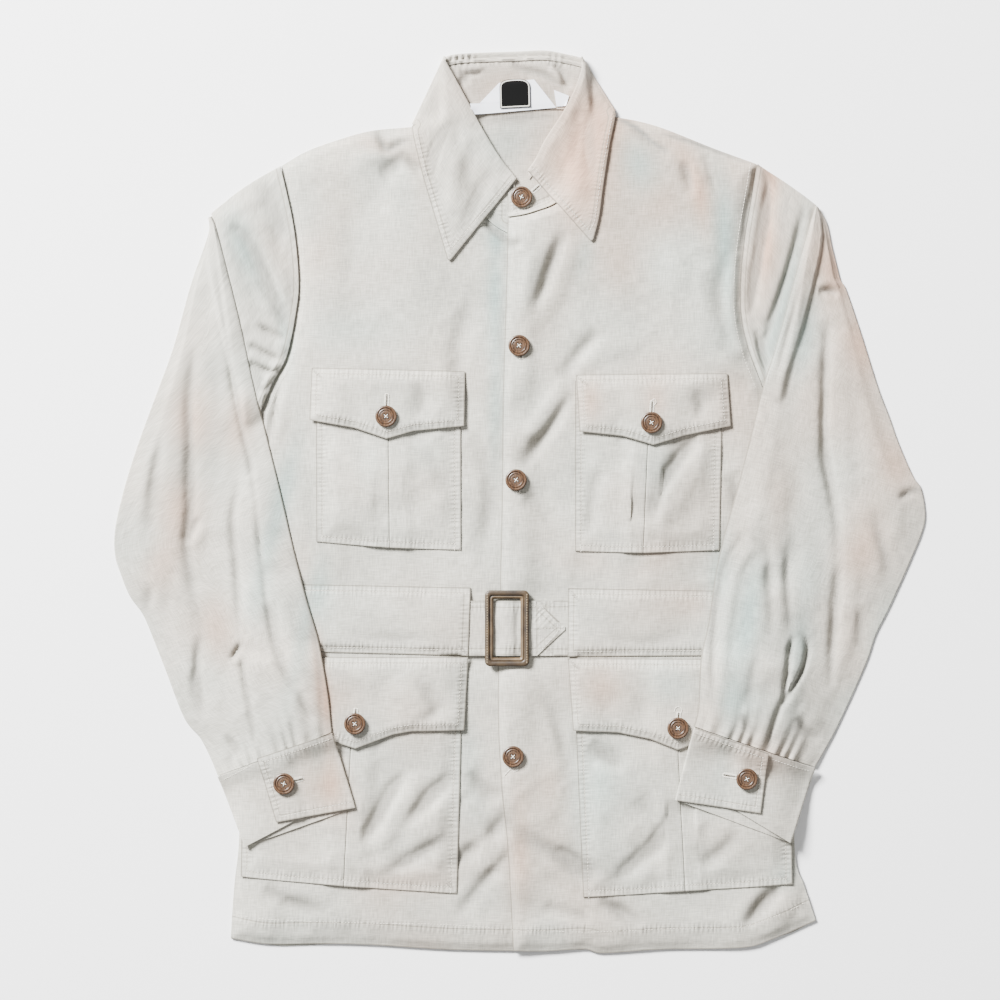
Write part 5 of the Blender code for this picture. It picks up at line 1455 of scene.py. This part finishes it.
def make_belt():
    """The fixed end round the buckle's bar and the free end over it."""
    deck = float(swell(TOP, 4)[BELT_MIDDLE - 20:BELT_MIDDLE + 20, BUCKLE_X - 12:BUCKLE_X + 14].max())
    half = BELT_WIDTH / 2 * MM / PIXEL
    lower = deck + GAP + WALL / 2
    FIELDS["deck"] = deck
    # Inside the casings the belt is narrower, so that it doesn't lift their edges
    fixed = [(x, lower, half * (1 - 0.14 * min(max((x - 572) / 8, 0), 1))) for x in np.arange(600, 509, -2.2)]
    for angle in range(-75, 91, 15):
        turn = math.radians(angle)
        fixed.append((505.5 - 1.6 * math.cos(turn), lower + 1.5 + 1.5 * math.sin(turn), half))
    fixed += [(507.5, lower + 3.0, half), (510, lower + 3.0, half)]
    plan, height = strip(fixed)
    deposit(plan, height)
    edge, run = line_distance(plan, [straight([(500, y), (600, y)], 3) for y in (601, 655)])
    edge = seamed(edge, plan, [straight([(547.2, 601), (547.2, 655)], 3)])
    add_cloth("belt_fixed_end", solid_points(plan, height), plan, edge, run)

    knots = np.array([(440, 0.0), (476, 0.0), (488, 0.0), (496, 0.5), (502, 3.5), (506, 3.9), (512, 3.9),
                      (518, 2.0), (524, 1.0), (532, 0.95), (566, 0.95)])
    xs = np.concatenate([np.arange(440, 537, 1.9), np.linspace(537, 565, 16)])
    high = np.interp(xs, knots[:, 0], knots[:, 1])
    high = np.convolve(np.pad(high, 2, mode="edge"), [0.15, 0.2, 0.3, 0.2, 0.15], "valid")
    wide = np.where(xs < 537, half, half * np.clip((566.5 - xs) / 29.5, 0.03, 1))
    wide = wide * (1 - 0.14 * np.clip((466 - xs) / 8, 0, 1))
    plan, height = strip(np.column_stack([xs, lower + high, wide]))
    across = (plan[..., 1] - BELT_MIDDLE) / half
    window = np.clip(1 - np.abs(np.abs(plan[..., 0] - 506) - 10.5) / 3, 0, 1)
    window = window * np.clip((plan[..., 0] - 480) / 9, 0, 1)
    height = height - 0.8 * window
    height = height + 0.35 * (1 - across ** 2) * np.clip((plan[..., 0] - 470) / 20, 0, 1)
    height += 0.35 * np.sin(across * 5 + plan[..., 0] * 0.12) * np.clip((plan[..., 0] - 476) / 16, 0, 1)
    height = np.maximum(height, np.where(plan[..., 0] > 500, sample(TOP, plan) + GAP + WALL / 2, 0))
    deposit(plan, height)
    point = straight([(468, 601.5), (537, 601.5), (565, 628), (537, 654.5), (468, 654.5)], 3)
    edge, run = line_distance(plan, [point])
    edge = seamed(edge, plan, [straight([(537, 602), (537, 654)], 3), straight([(539, 628), (561, 628)], 3)])
    add_cloth("belt_free_end", solid_points(plan, height), plan, edge, run)
    sew("stitches_belt", [
        straight([(540, 604), (540, 652), (560.5, 628), (540, 604)], 3),
        straight([(540, 628), (560, 628)], 3),
        straight([(471, 605), (484, 605)], 3), straight([(471, 651), (484, 651)], 3),
        straight([(530, 605), (537, 605)], 3), straight([(530, 651), (537, 651)], 3),
    ])


def make_buckle():
    """A flat frame wrapped in leather and stitched along both long sides."""
    settings = bpy.context.scene.jacket_buckle
    wide, high = settings.width * 500, settings.height * 500
    base = FIELDS["deck"] + 2.6
    profile = [(1.0, 0), (0.3, 0.3), (0, 1.0), (0, 2.4), (0.35, 3.1), (1.1, 3.5), (2.2, 3.65), (3.6, 3.6),
               (4.5, 3.3), (4.8, 2.5), (5.2, 2.5), (5.6, 2.95), (6.3, 2.95), (7.0, 2.5), (7.6, 1.9),
               (8.1, 1.3),
               (8.25, 0.8), (7.9, 0.2), (7.2, 0)]
    rings, steps = [], 8
    for inward, height in profile:
        radius = max(0.8, 5.0 - 0.45 * inward)
        ring = []
        for corner, (sx, sy) in enumerate(((1, 1), (-1, 1), (-1, -1), (1, -1))):
            for step in range(steps + 1):
                turn = math.radians(90) * (corner + step / steps)
                ring.append((sx * (wide - inward - radius) + radius * math.cos(turn),
                             sy * (high - inward - radius) + radius * math.sin(turn), base + height))
        rings.append(ring)
    points = np.array(rings)
    centre = np.array([(BUCKLE_X - MIDDLE_X) * PIXEL, (MIDDLE_Y - BELT_MIDDLE) * PIXEL, 0])
    points = points * MM + centre
    count = points.shape[1]
    index = np.arange(points.shape[0] * count).reshape(points.shape[0], count)
    across, down = np.roll(index, -1, axis=1), np.roll(index, -1, axis=0)
    both = np.roll(across, -1, axis=0)
    faces = np.stack([index, across, both, down], axis=-1).reshape(-1, 4)
    frame_piece = add_mesh("buckle_frame", points.reshape(-1, 3), faces, LOOKS["leather"])
    # The inner bevel's faces take a paler copy of the leather
    frame_piece.data.materials.append(LOOKS["rubbed_leather"])
    for face in frame_piece.data.polygons:
        if 11 <= face.index // count <= 15:
            face.material_index = 1
    belong(frame_piece, "leather", "buckle")
    deposit_ring(base + 3.6)
    rows = []
    for sx in (-1, 1):
        x = BUCKLE_X + sx * (wide - 2.2) * MM / PIXEL
        reach = (high - 4) * MM / PIXEL
        rows.append(straight([(x, BELT_MIDDLE - reach), (x, BELT_MIDDLE + reach)], 3))
    spots = np.vstack([resample(row, 27) for row in rows])
    ways = np.tile([0.0, 1.0], (len(spots), 1))
    threads("stitches_buckle", spots, ways, np.full(len(spots), base + 3.62), 1.6, 0.45,
            LOOKS["buckle_thread"], "leather")


def deposit_ring(level):
    """Marks the buckle in TOP, so that nothing is laid through it."""
    x0, x1 = int(BUCKLE_X - 22), int(BUCKLE_X + 22)
    y0, y1 = int(BELT_MIDDLE - 38), int(BELT_MIDDLE + 38)
    TOP[y0:y0 + 9, x0:x1] = level
    TOP[y1 - 9:y1, x0:x1] = level


def make_sleeve(side, inner_table, outer_table, armhole, head_top, head_tuck):
    """One sleeve: a flattened tube with its head tucked in at the shoulder."""
    inner_line = curve(inner_table, int(500 / SLEEVE_SPACING))
    outer_line = curve(outer_table, len(inner_line))
    way = unit(outer_line - inner_line)
    lip = EDGE_REACH * MM / PIXEL
    inner_in, outer_in = inner_line + way * lip, outer_line - way * lip
    rows = len(inner_line)
    lower_plan = np.swapaxes(between(inner_in, outer_in, 18), 0, 1)
    lower = settle(lower_plan, 0.0, 6, 2)

    seam = curve(armhole, 82)
    shift = -0.6 if side == "left" else 0.6
    seam[:, 0] += shift
    tuck = curve(head_tuck, 82)
    top = curve(head_top, 36)
    top[0, 0] += shift
    along = unit(np.gradient(top, axis=0))
    out = np.column_stack([along[:, 1], -along[:, 0]]) * (-1 if side == "left" else 1)
    out[0] = unit(seam[-1] - seam[-2])
    closed = top - out * lip
    seam[-1], tuck[-1] = closed[0], closed[-1]
    armpit = resample(np.array([seam[0], tuck[0]]), 36)
    plan = patch(seam, tuck, armpit, closed)
    under = settle(plan, 0.0, 3, 2)
    folds = sample(FIELDS["head"], plan)
    inside = fade_in(plan.shape, 7)
    seam_edge, seam_run = line_distance(plan, [seam])
    from_tuck = np.clip((plan.shape[1] - 1 - np.arange(plan.shape[1])) / 14, 0, 1)[None, :]
    dome = HEAD_DOME * np.clip(seam_edge / 30, 0, 1) ** 0.6 * from_tuck ** 0.6
    room = 0.4 + dome + np.maximum(folds + 0.8, 0) * inside + pucker(seam_edge, seam_run, 0.9, 2.0, 0.0, 5.0)
    over = settle(plan, room, 3, 1)
    low, high = solid_points(plan, under), solid_points(plan, over)
    arc = turn_over(low[:, -1], high[:, -1], flat_ways(out), EDGE_REACH, 5)
    points = np.concatenate([low, np.moveaxis(arc, 0, 1), high[:, ::-1]], axis=1)
    if side == "left":
        points = points[::-1]
    grid = plan_of(points)
    name = "sleeve_head_" + side
    rim = line_distance(grid, [resample(seam, 30)])[0]
    add_cloth(name, points, grid, rim + 1.5, rim * 0, rim=rim + 0.6, folds="head")

    columns = int(166 / SLEEVE_SPACING)
    plan = np.swapaxes(between(inner_in, outer_in, columns), 0, 1)
    across = np.linspace(0, 1, columns)[:, None]
    down = np.arange(rows)[None, :]
    crown = 1.6 * np.sin(np.pi * np.clip(across * 1.1, 0, 1)) ** 0.6 * np.clip(down / 26, 0, 1)
    to_cuff = (rows - 1 - down) * SLEEVE_SPACING
    gather = np.sin(across * 62 + 1.5 * np.sin(across * 17)) * np.exp(-to_cuff / 17)
    gather = gather * (1.7 if side == "left" else 1.5)
    gather = gather * np.clip(across * 6, 0, 1) * np.clip(6 - across * 6, 0, 1)
    fade = np.minimum(1, np.minimum(across * 7, 7 - 7 * across)) * np.clip(down / 20, 0, 1)
    folds = sample(FIELDS["sleeve_" + side], plan) * fade
    room = np.maximum(crown * np.clip(to_cuff / 30, 0.35, 1) + folds + gather + 0.3, 0)
    upper = settle(plan, room, 3, 1)
    low, high = solid_points(lower_plan, lower), solid_points(plan, upper)
    ways = flat_ways(way)
    outer_turn = turn_over(high[-1], low[-1], ways, EDGE_REACH, 6)
    inner_turn = turn_over(low[0], high[0], -ways, EDGE_REACH, 6)
    points = np.concatenate([inner_turn, high, outer_turn, low[::-1]])
    points = points[:, ::-1]
    if side == "left":
        points = points[::-1]
    grid = plan_of(points)
    # The sleeve's inner edge gets the painted dark shade line
    rim = line_distance(grid, [resample(inner_line, 60)])[0]
    add_cloth("sleeve_" + side, points, grid, rim=rim, folds="sleeve_" + side)


def make_cuff(side):
    """A buttoned cuff that goes round the wrist and laps over its own end."""
    lines = {}
    rows = 34
    for key, (x1, y1, x2, y2) in CUFFS[side].items():
        lines[key] = resample(np.array([(x1, y1), (x2, y2)], float), rows)
    way = unit(lines["outer"] - lines["inner"])
    lip = EDGE_REACH * MM / PIXEL
    inner_in, outer_in = lines["inner"] + way * lip, lines["outer"] - way * lip
    bottom_plan = np.swapaxes(between(inner_in, outer_in, 30), 0, 1)
    bottom = settle(bottom_plan, 0.0, 5, 2)
    tongue_plan = np.swapaxes(between(outer_in, lines["tongue"], 34), 0, 1)
    tongue = settle(tongue_plan, 1.0, 3, 2)
    top_plan = np.swapaxes(between(lines["lap"], inner_in, 44), 0, 1)
    border = [lines["lap"]] + [straight([lines["lap"][k], lines["inner"][k]], 3) for k in (-1, 0)]
    edge, run = line_distance(top_plan, border)
    room = 0.35 + pucker(edge, run, 0.6, 1.3, 3.0, 4.5)
    room = room + np.maximum(0.4 * sample(FIELDS["collar"], top_plan) + 0.2, 0)
    top = settle(top_plan, room, 3, 2)
    layers = [solid_points(*layer) for layer in
              ((top_plan, top), (bottom_plan, bottom), (tongue_plan, tongue))]
    ways = flat_ways(way)
    inner_turn = turn_over(layers[0][-1], layers[1][0], -ways, EDGE_REACH, 6)
    outer_turn = turn_over(layers[1][-1], layers[2][0], ways, EDGE_REACH, 6)
    points = np.concatenate([layers[0], inner_turn, layers[1], outer_turn, layers[2]])
    if side == "left":
        points = points[:, ::-1]
    full_edge, full_run = np.full(points.shape[:2], 60.0), np.zeros(points.shape[:2])
    full_edge[:44], full_run[:44] = (edge[:, ::-1], run[:, ::-1]) if side == "left" else (edge, run)
    grid = plan_of(points)
    name = "cuff_" + side
    add_cloth(name, points, grid, full_edge, full_run)
    lap, inner = lines["lap"], lines["inner"]
    sign = 1 if side == "left" else -1
    corners = [lap[4] + (sign * 5.5, 0), lap[-1] + (sign * 4, -5.5), inner[-1] + (-sign * 2, -6)]
    rest = [lap[0] + (sign * 4, 5), inner[0] + (-sign * 2, 6)]
    hidden = [lines["outer"][0] + (sign * 6, 3), lap[0] + (-sign * 3, 6)]
    sew("stitches_" + name, [straight(corners, 3), straight(rest, 3), straight(hidden, 3)])


def button_mesh(look):
    """A turned disc with a rounded rim, a dished middle and four holes."""
    settings = bpy.context.scene.jacket_button
    radius, depth = settings.diameter / 2, settings.depth
    profile = [(0.0, 0.0), (0.72, 0.0), (0.93, 0.18), (1.0, 0.5), (0.985, 0.78), (0.93, 0.95), (0.86, 1.0),
               (0.80, 0.94), (0.77, 0.78), (0.74, 0.70), (0.71, 0.78), (0.66, 0.86), (0.60, 0.84),
               (0.56, 0.70),
               (0.53, 0.64), (0.48, 0.70), (0.38, 0.68), (0.0, 0.62)]
    sides = 48
    work = bmesh.new()
    rings = []
    for share, high in profile:
        if share == 0:
            rings.append([work.verts.new((0, 0, depth * high))])
            continue
        rings.append([work.verts.new((radius * share * math.cos(math.tau * k / sides),
                                      radius * share * math.sin(math.tau * k / sides), depth * high))
                      for k in range(sides)])
    for first, last in zip(rings, rings[1:]):
        for k in range(sides):
            m = (k + 1) % sides
            corners = [first[k % len(first)], first[m % len(first)], last[m % len(last)], last[k % len(last)]]
            kept = []
            for corner in corners:
                if corner not in kept:
                    kept.append(corner)
            work.faces.new(kept)
    bmesh.ops.recalc_face_normals(work, faces=work.faces)
    mesh = bpy.data.meshes.new("button")
    work.to_mesh(mesh)
    work.free()
    disc = add_object("button_disc", mesh)
    pegs = bmesh.new()
    for x, y in ((1, 1), (-1, 1), (-1, -1), (1, -1)):
        made = bmesh.ops.create_cone(
            pegs, cap_ends=True, segments=14, radius1=0.95 * MM, radius2=0.95 * MM, depth=0.02)
        bmesh.ops.translate(pegs, verts=made["verts"], vec=(x * 1.75 * MM, y * 1.75 * MM, 0))
    peg_mesh = bpy.data.meshes.new("button_pegs")
    pegs.to_mesh(peg_mesh)
    pegs.free()
    peg = add_object("button_pegs", peg_mesh)
    cut = disc.modifiers.new("holes", "BOOLEAN")
    cut.operation = "DIFFERENCE"
    cut.object = peg
    bpy.context.view_layer.update()
    result = bpy.data.meshes.new_from_object(disc.evaluated_get(bpy.context.evaluated_depsgraph_get()))
    for item in (disc, peg):
        bpy.data.objects.remove(item, do_unlink=True)
    result.materials.clear()
    result.materials.append(look)
    result.shade_smooth()
    result.set_sharp_from_angle(angle=math.radians(35))
    return result


def make_buttons():
    """Ten buttons, each sewn on with white thread through its four holes."""
    settings = bpy.context.scene.jacket_button
    mesh = button_mesh(LOOKS["button"])
    swollen = swell(TOP, 7)
    spots, ways, heights = [], [], []
    for name, (x, y, turn) in BUTTONS.items():
        level = float(sample(swollen, np.array([[x, y]]))[0]) + GAP
        made = add_object(name + "_turned", mesh)
        made.location = ((x - MIDDLE_X) * PIXEL, (MIDDLE_Y - y) * PIXEL, level * MM)
        made.rotation_euler = (0, 0, math.radians(turn))
        belong(made, "button", name)
        for side in (-1, 1):
            across = math.radians(turn + 45 * side)
            spots.append((x, y))
            ways.append((math.cos(across), -math.sin(across)))
            heights.append(level + settings.depth / MM * 0.64 + 0.2 + 0.15 * side)
    threads("button_threads", np.array(spots), np.array(ways), np.array(heights), 5.2, 0.65,
            LOOKS["white_thread"], "button", 0.4)


def make_buttonholes():
    """Worked slots: two rows of short thread bars and a bar at each end."""
    spots, ways = [], []
    for x1, y1, x2, y2 in BUTTONHOLES:
        start, end = np.array((x1, y1), float), np.array((x2, y2), float)
        along = unit(end - start)
        cross = np.array([-along[1], along[0]])
        length = float(np.hypot(*(end - start)))
        for k in range(int(length / 0.85) + 1):
            for side in (-1, 1):
                spots.append(start + along * k * 0.85 + cross * side * 1.5)
                ways.append(cross)
        for end_point in (start - along * 0.6, end + along * 0.6):
            for shift in (-0.8, 0.8):
                spots.append(end_point + cross * shift)
                ways.append(cross)
    spots, ways = np.array(spots), np.array(ways)
    heights = sample(TOP, spots) + 0.12
    threads("buttonholes", spots, ways, heights, 2.0, 0.7, LOOKS["white_thread"], tall=0.9)
    pieces = [curve(points, 3 * len(points)) for points in LOOSE_ENDS]
    spots = np.vstack([(line[1:] + line[:-1]) / 2 for line in pieces])
    ways = np.vstack([np.diff(line, axis=0) for line in pieces])
    threads("loose_ends", spots, ways, sample(swell(TOP, 1), spots) + 0.3, 1.9, 0.55, LOOKS["white_thread"])
    # Each slot gets a dark strip of painted shade where the cut opens
    ends = np.array(BUTTONHOLES, float).reshape(-1, 2, 2)
    middles = ends.mean(axis=1)
    along = ends[:, 1] - ends[:, 0]
    lengths = np.hypot(*along.T)[:, None] * PIXEL / MM + 1
    threads("buttonhole_slot_shade", middles, along, sample(TOP, middles) + 0.45, lengths, 1.2, LOOKS["slot"])


# Settings, tools and panel

def tint(name, description, code):
    return FloatVectorProperty(name=name, description=description, subtype="COLOR", size=3,
                               default=linear(code)[:3], min=0, max=1)


def millimetres(name, description, default, least, most):
    return FloatProperty(name=name, description=description + " in mm", default=default, min=least, max=most)


def size(name, description, default):
    return FloatProperty(name=name, description=description, unit="LENGTH", subtype="DISTANCE",
                         default=default)


class JacketCloth(bpy.types.PropertyGroup):
    stone: tint("Stone", "Colour of the cloth", "#B4B1A6")
    warm: tint("Warm tint", "Colour of the pinkish patches", "#A87F66")
    cool: tint("Cool tint", "Colour of the greenish patches", "#829C98")
    slub_width: millimetres("Slub width", "Width of a thick thread", 0.9, 0.2, 4)
    stitch_pitch: millimetres("Stitch pitch", "From one stitch to the next", 3.0, 1, 8)
    stitch_length: millimetres("Stitch length", "Length of thread that shows", 2.1, 0.5, 7)
    thread_width: millimetres("Thread width", "Width of the sewing thread", 0.55, 0.1, 2)
    stitch_margin: millimetres("Stitch margin", "From an edge to its stitches", 5.6, 1, 20)


class JacketButton(bpy.types.PropertyGroup):
    diameter: size("Diameter", "Across a button", 0.0205)
    depth: size("Depth", "Depth of a button", 0.0034)


class JacketBuckle(bpy.types.PropertyGroup):
    width: size("Width", "Buckle along the belt", 0.042)
    height: size("Height", "Buckle across the belt", 0.072)


class JacketStage(bpy.types.PropertyGroup):
    camera_height: size("Camera height", "Over the jacket", 3.0)
    key_power: FloatProperty(
        name="Key light", description="Power of the light at the upper left", unit="POWER", default=1800.0)
    fill_power: FloatProperty(
        name="Fill light", description="Power of the broad light above", unit="POWER", default=32.0)
    floor: FloatVectorProperty(
        name="Floor", description="Colour of the floor", subtype="COLOR", size=3, default=(0.9, 0.9, 0.9))


class JACKET_OT_prepare(bpy.types.Operator):
    """Makes the materials and the fields that the pieces share"""
    bl_idname = "jacket.prepare"
    bl_label = "Materials"

    def execute(self, context):
        prepare()
        return {"FINISHED"}


class JACKET_OT_body(bpy.types.Operator):
    """Builds the back, the fronts and the collar with its band"""
    bl_idname = "jacket.body"
    bl_label = "Body and collar"

    def execute(self, context):
        parts = make_leaf_under()
        make_back()
        make_fronts_and_band()
        make_leaf(parts)
        return {"FINISHED"}


class JACKET_OT_labels(bpy.types.Operator):
    """Builds the labels inside the neck"""
    bl_idname = "jacket.labels"
    bl_label = "Labels"

    def execute(self, context):
        make_labels()
        return {"FINISHED"}


class JACKET_OT_belt(bpy.types.Operator):
    """Builds the belt, the buckle and the casings"""
    bl_idname = "jacket.belt"
    bl_label = "Belt and casings"

    def execute(self, context):
        make_belt()
        make_buckle()
        make_casings()
        return {"FINISHED"}


class JACKET_OT_pockets(bpy.types.Operator):
    """Builds the pleated pockets and their flaps"""
    bl_idname = "jacket.pockets"
    bl_label = "Pockets and flaps"

    def execute(self, context):
        make_pockets()
        make_flaps()
        return {"FINISHED"}


class JACKET_OT_sleeves(bpy.types.Operator):
    """Builds both sleeves and their cuffs"""
    bl_idname = "jacket.sleeves"
    bl_label = "Sleeves and cuffs"

    def execute(self, context):
        make_sleeve("left", ARM_INNER_LEFT, ARM_OUTER_LEFT, ARMHOLE_LEFT, HEAD_TOP_LEFT, HEAD_TUCK_LEFT)
        make_sleeve("right", ARM_INNER_RIGHT, ARM_OUTER_RIGHT, ARMHOLE_RIGHT, HEAD_TOP_RIGHT, HEAD_TUCK_RIGHT)
        make_cuff("left")
        make_cuff("right")
        return {"FINISHED"}


class JACKET_OT_buttons(bpy.types.Operator):
    """Builds the buttons and the buttonholes"""
    bl_idname = "jacket.buttons"
    bl_label = "Buttons"

    def execute(self, context):
        make_buttons()
        make_buttonholes()
        return {"FINISHED"}


class JACKET_OT_stage(bpy.types.Operator):
    """Adds the floor, the lights and the camera over the jacket"""
    bl_idname = "jacket.stage"
    bl_label = "Stage"

    def execute(self, context):
        settings = context.scene.jacket_stage
        mesh = bpy.data.meshes.new("floor")
        half, level = 6.0, -0.3 * MM
        corners = ((-half, -half), (half, -half), (half, half), (-half, half))
        mesh.from_pydata([(x, y, level) for x, y in corners],
                         [], [(0, 1, 2, 3)])
        mesh.materials.append(plain_material("painted_floor", (*settings.floor, 1.0), 0.9, 1.5))
        add_object("floor", mesh)
        for name, place, size, power in (
            ("key_light", (-2.9, 2.9, 2.8), 1.5, settings.key_power),
            ("fill_light", (0.6, -0.6, 3.4), 3.0, settings.fill_power),
        ):
            light = bpy.data.lights.new(name, "AREA")
            light.size = size
            light.energy = power
            lamp = add_object(name, light)
            lamp.location = place
            lamp.rotation_euler = (-Vector(place)).to_track_quat("-Z", "Y").to_euler()
        world = bpy.data.worlds.new("studio")
        world.use_nodes = True
        world.node_tree.nodes["Background"].inputs[0].default_value = (1, 1, 1, 1)
        world.node_tree.nodes["Background"].inputs[1].default_value = 0.31
        context.scene.world = world
        camera = bpy.data.cameras.new("camera")
        wide = FRAME_PIXELS * PIXEL
        level = 5 * MM
        camera.lens = camera.sensor_width * (settings.camera_height - level) / wide
        holder = add_object("camera", camera)
        holder.location = ((CAMERA_PIXEL[0] - MIDDLE_X) * PIXEL, (MIDDLE_Y - CAMERA_PIXEL[1]) * PIXEL,
                           settings.camera_height)
        context.scene.camera = holder
        return {"FINISHED"}


class JACKET_PT_panel(bpy.types.Panel):
    bl_idname = "JACKET_PT_panel"
    bl_label = "Safari jacket"
    bl_space_type = "VIEW_3D"
    bl_region_type = "UI"
    bl_category = "Jacket"

    def draw(self, context):
        layout = self.layout
        for settings in (context.scene.jacket_cloth, context.scene.jacket_button,
                         context.scene.jacket_buckle, context.scene.jacket_stage):
            box = layout.box()
            for name in settings.__annotations__:
                box.prop(settings, name)
        for tool in TOOLS:
            layout.operator(tool.bl_idname)


TOOLS = (JACKET_OT_prepare, JACKET_OT_body, JACKET_OT_labels, JACKET_OT_belt, JACKET_OT_pockets,
         JACKET_OT_sleeves, JACKET_OT_buttons, JACKET_OT_stage)
GROUPS = {"jacket_cloth": JacketCloth, "jacket_button": JacketButton, "jacket_buckle": JacketBuckle,
          "jacket_stage": JacketStage}


def register():
    for item in (*GROUPS.values(), *TOOLS, JACKET_PT_panel):
        bpy.utils.register_class(item)
    for name, group in GROUPS.items():
        setattr(bpy.types.Scene, name, PointerProperty(type=group))


def unregister():
    for name in GROUPS:
        delattr(bpy.types.Scene, name)
    for item in reversed((*GROUPS.values(), *TOOLS, JACKET_PT_panel)):
        bpy.utils.unregister_class(item)


def main():
    register()
    for tool in TOOLS:
        group, name = tool.bl_idname.split(".")
        getattr(getattr(bpy.ops, group), name)()


if __name__ == "__main__":
    main()
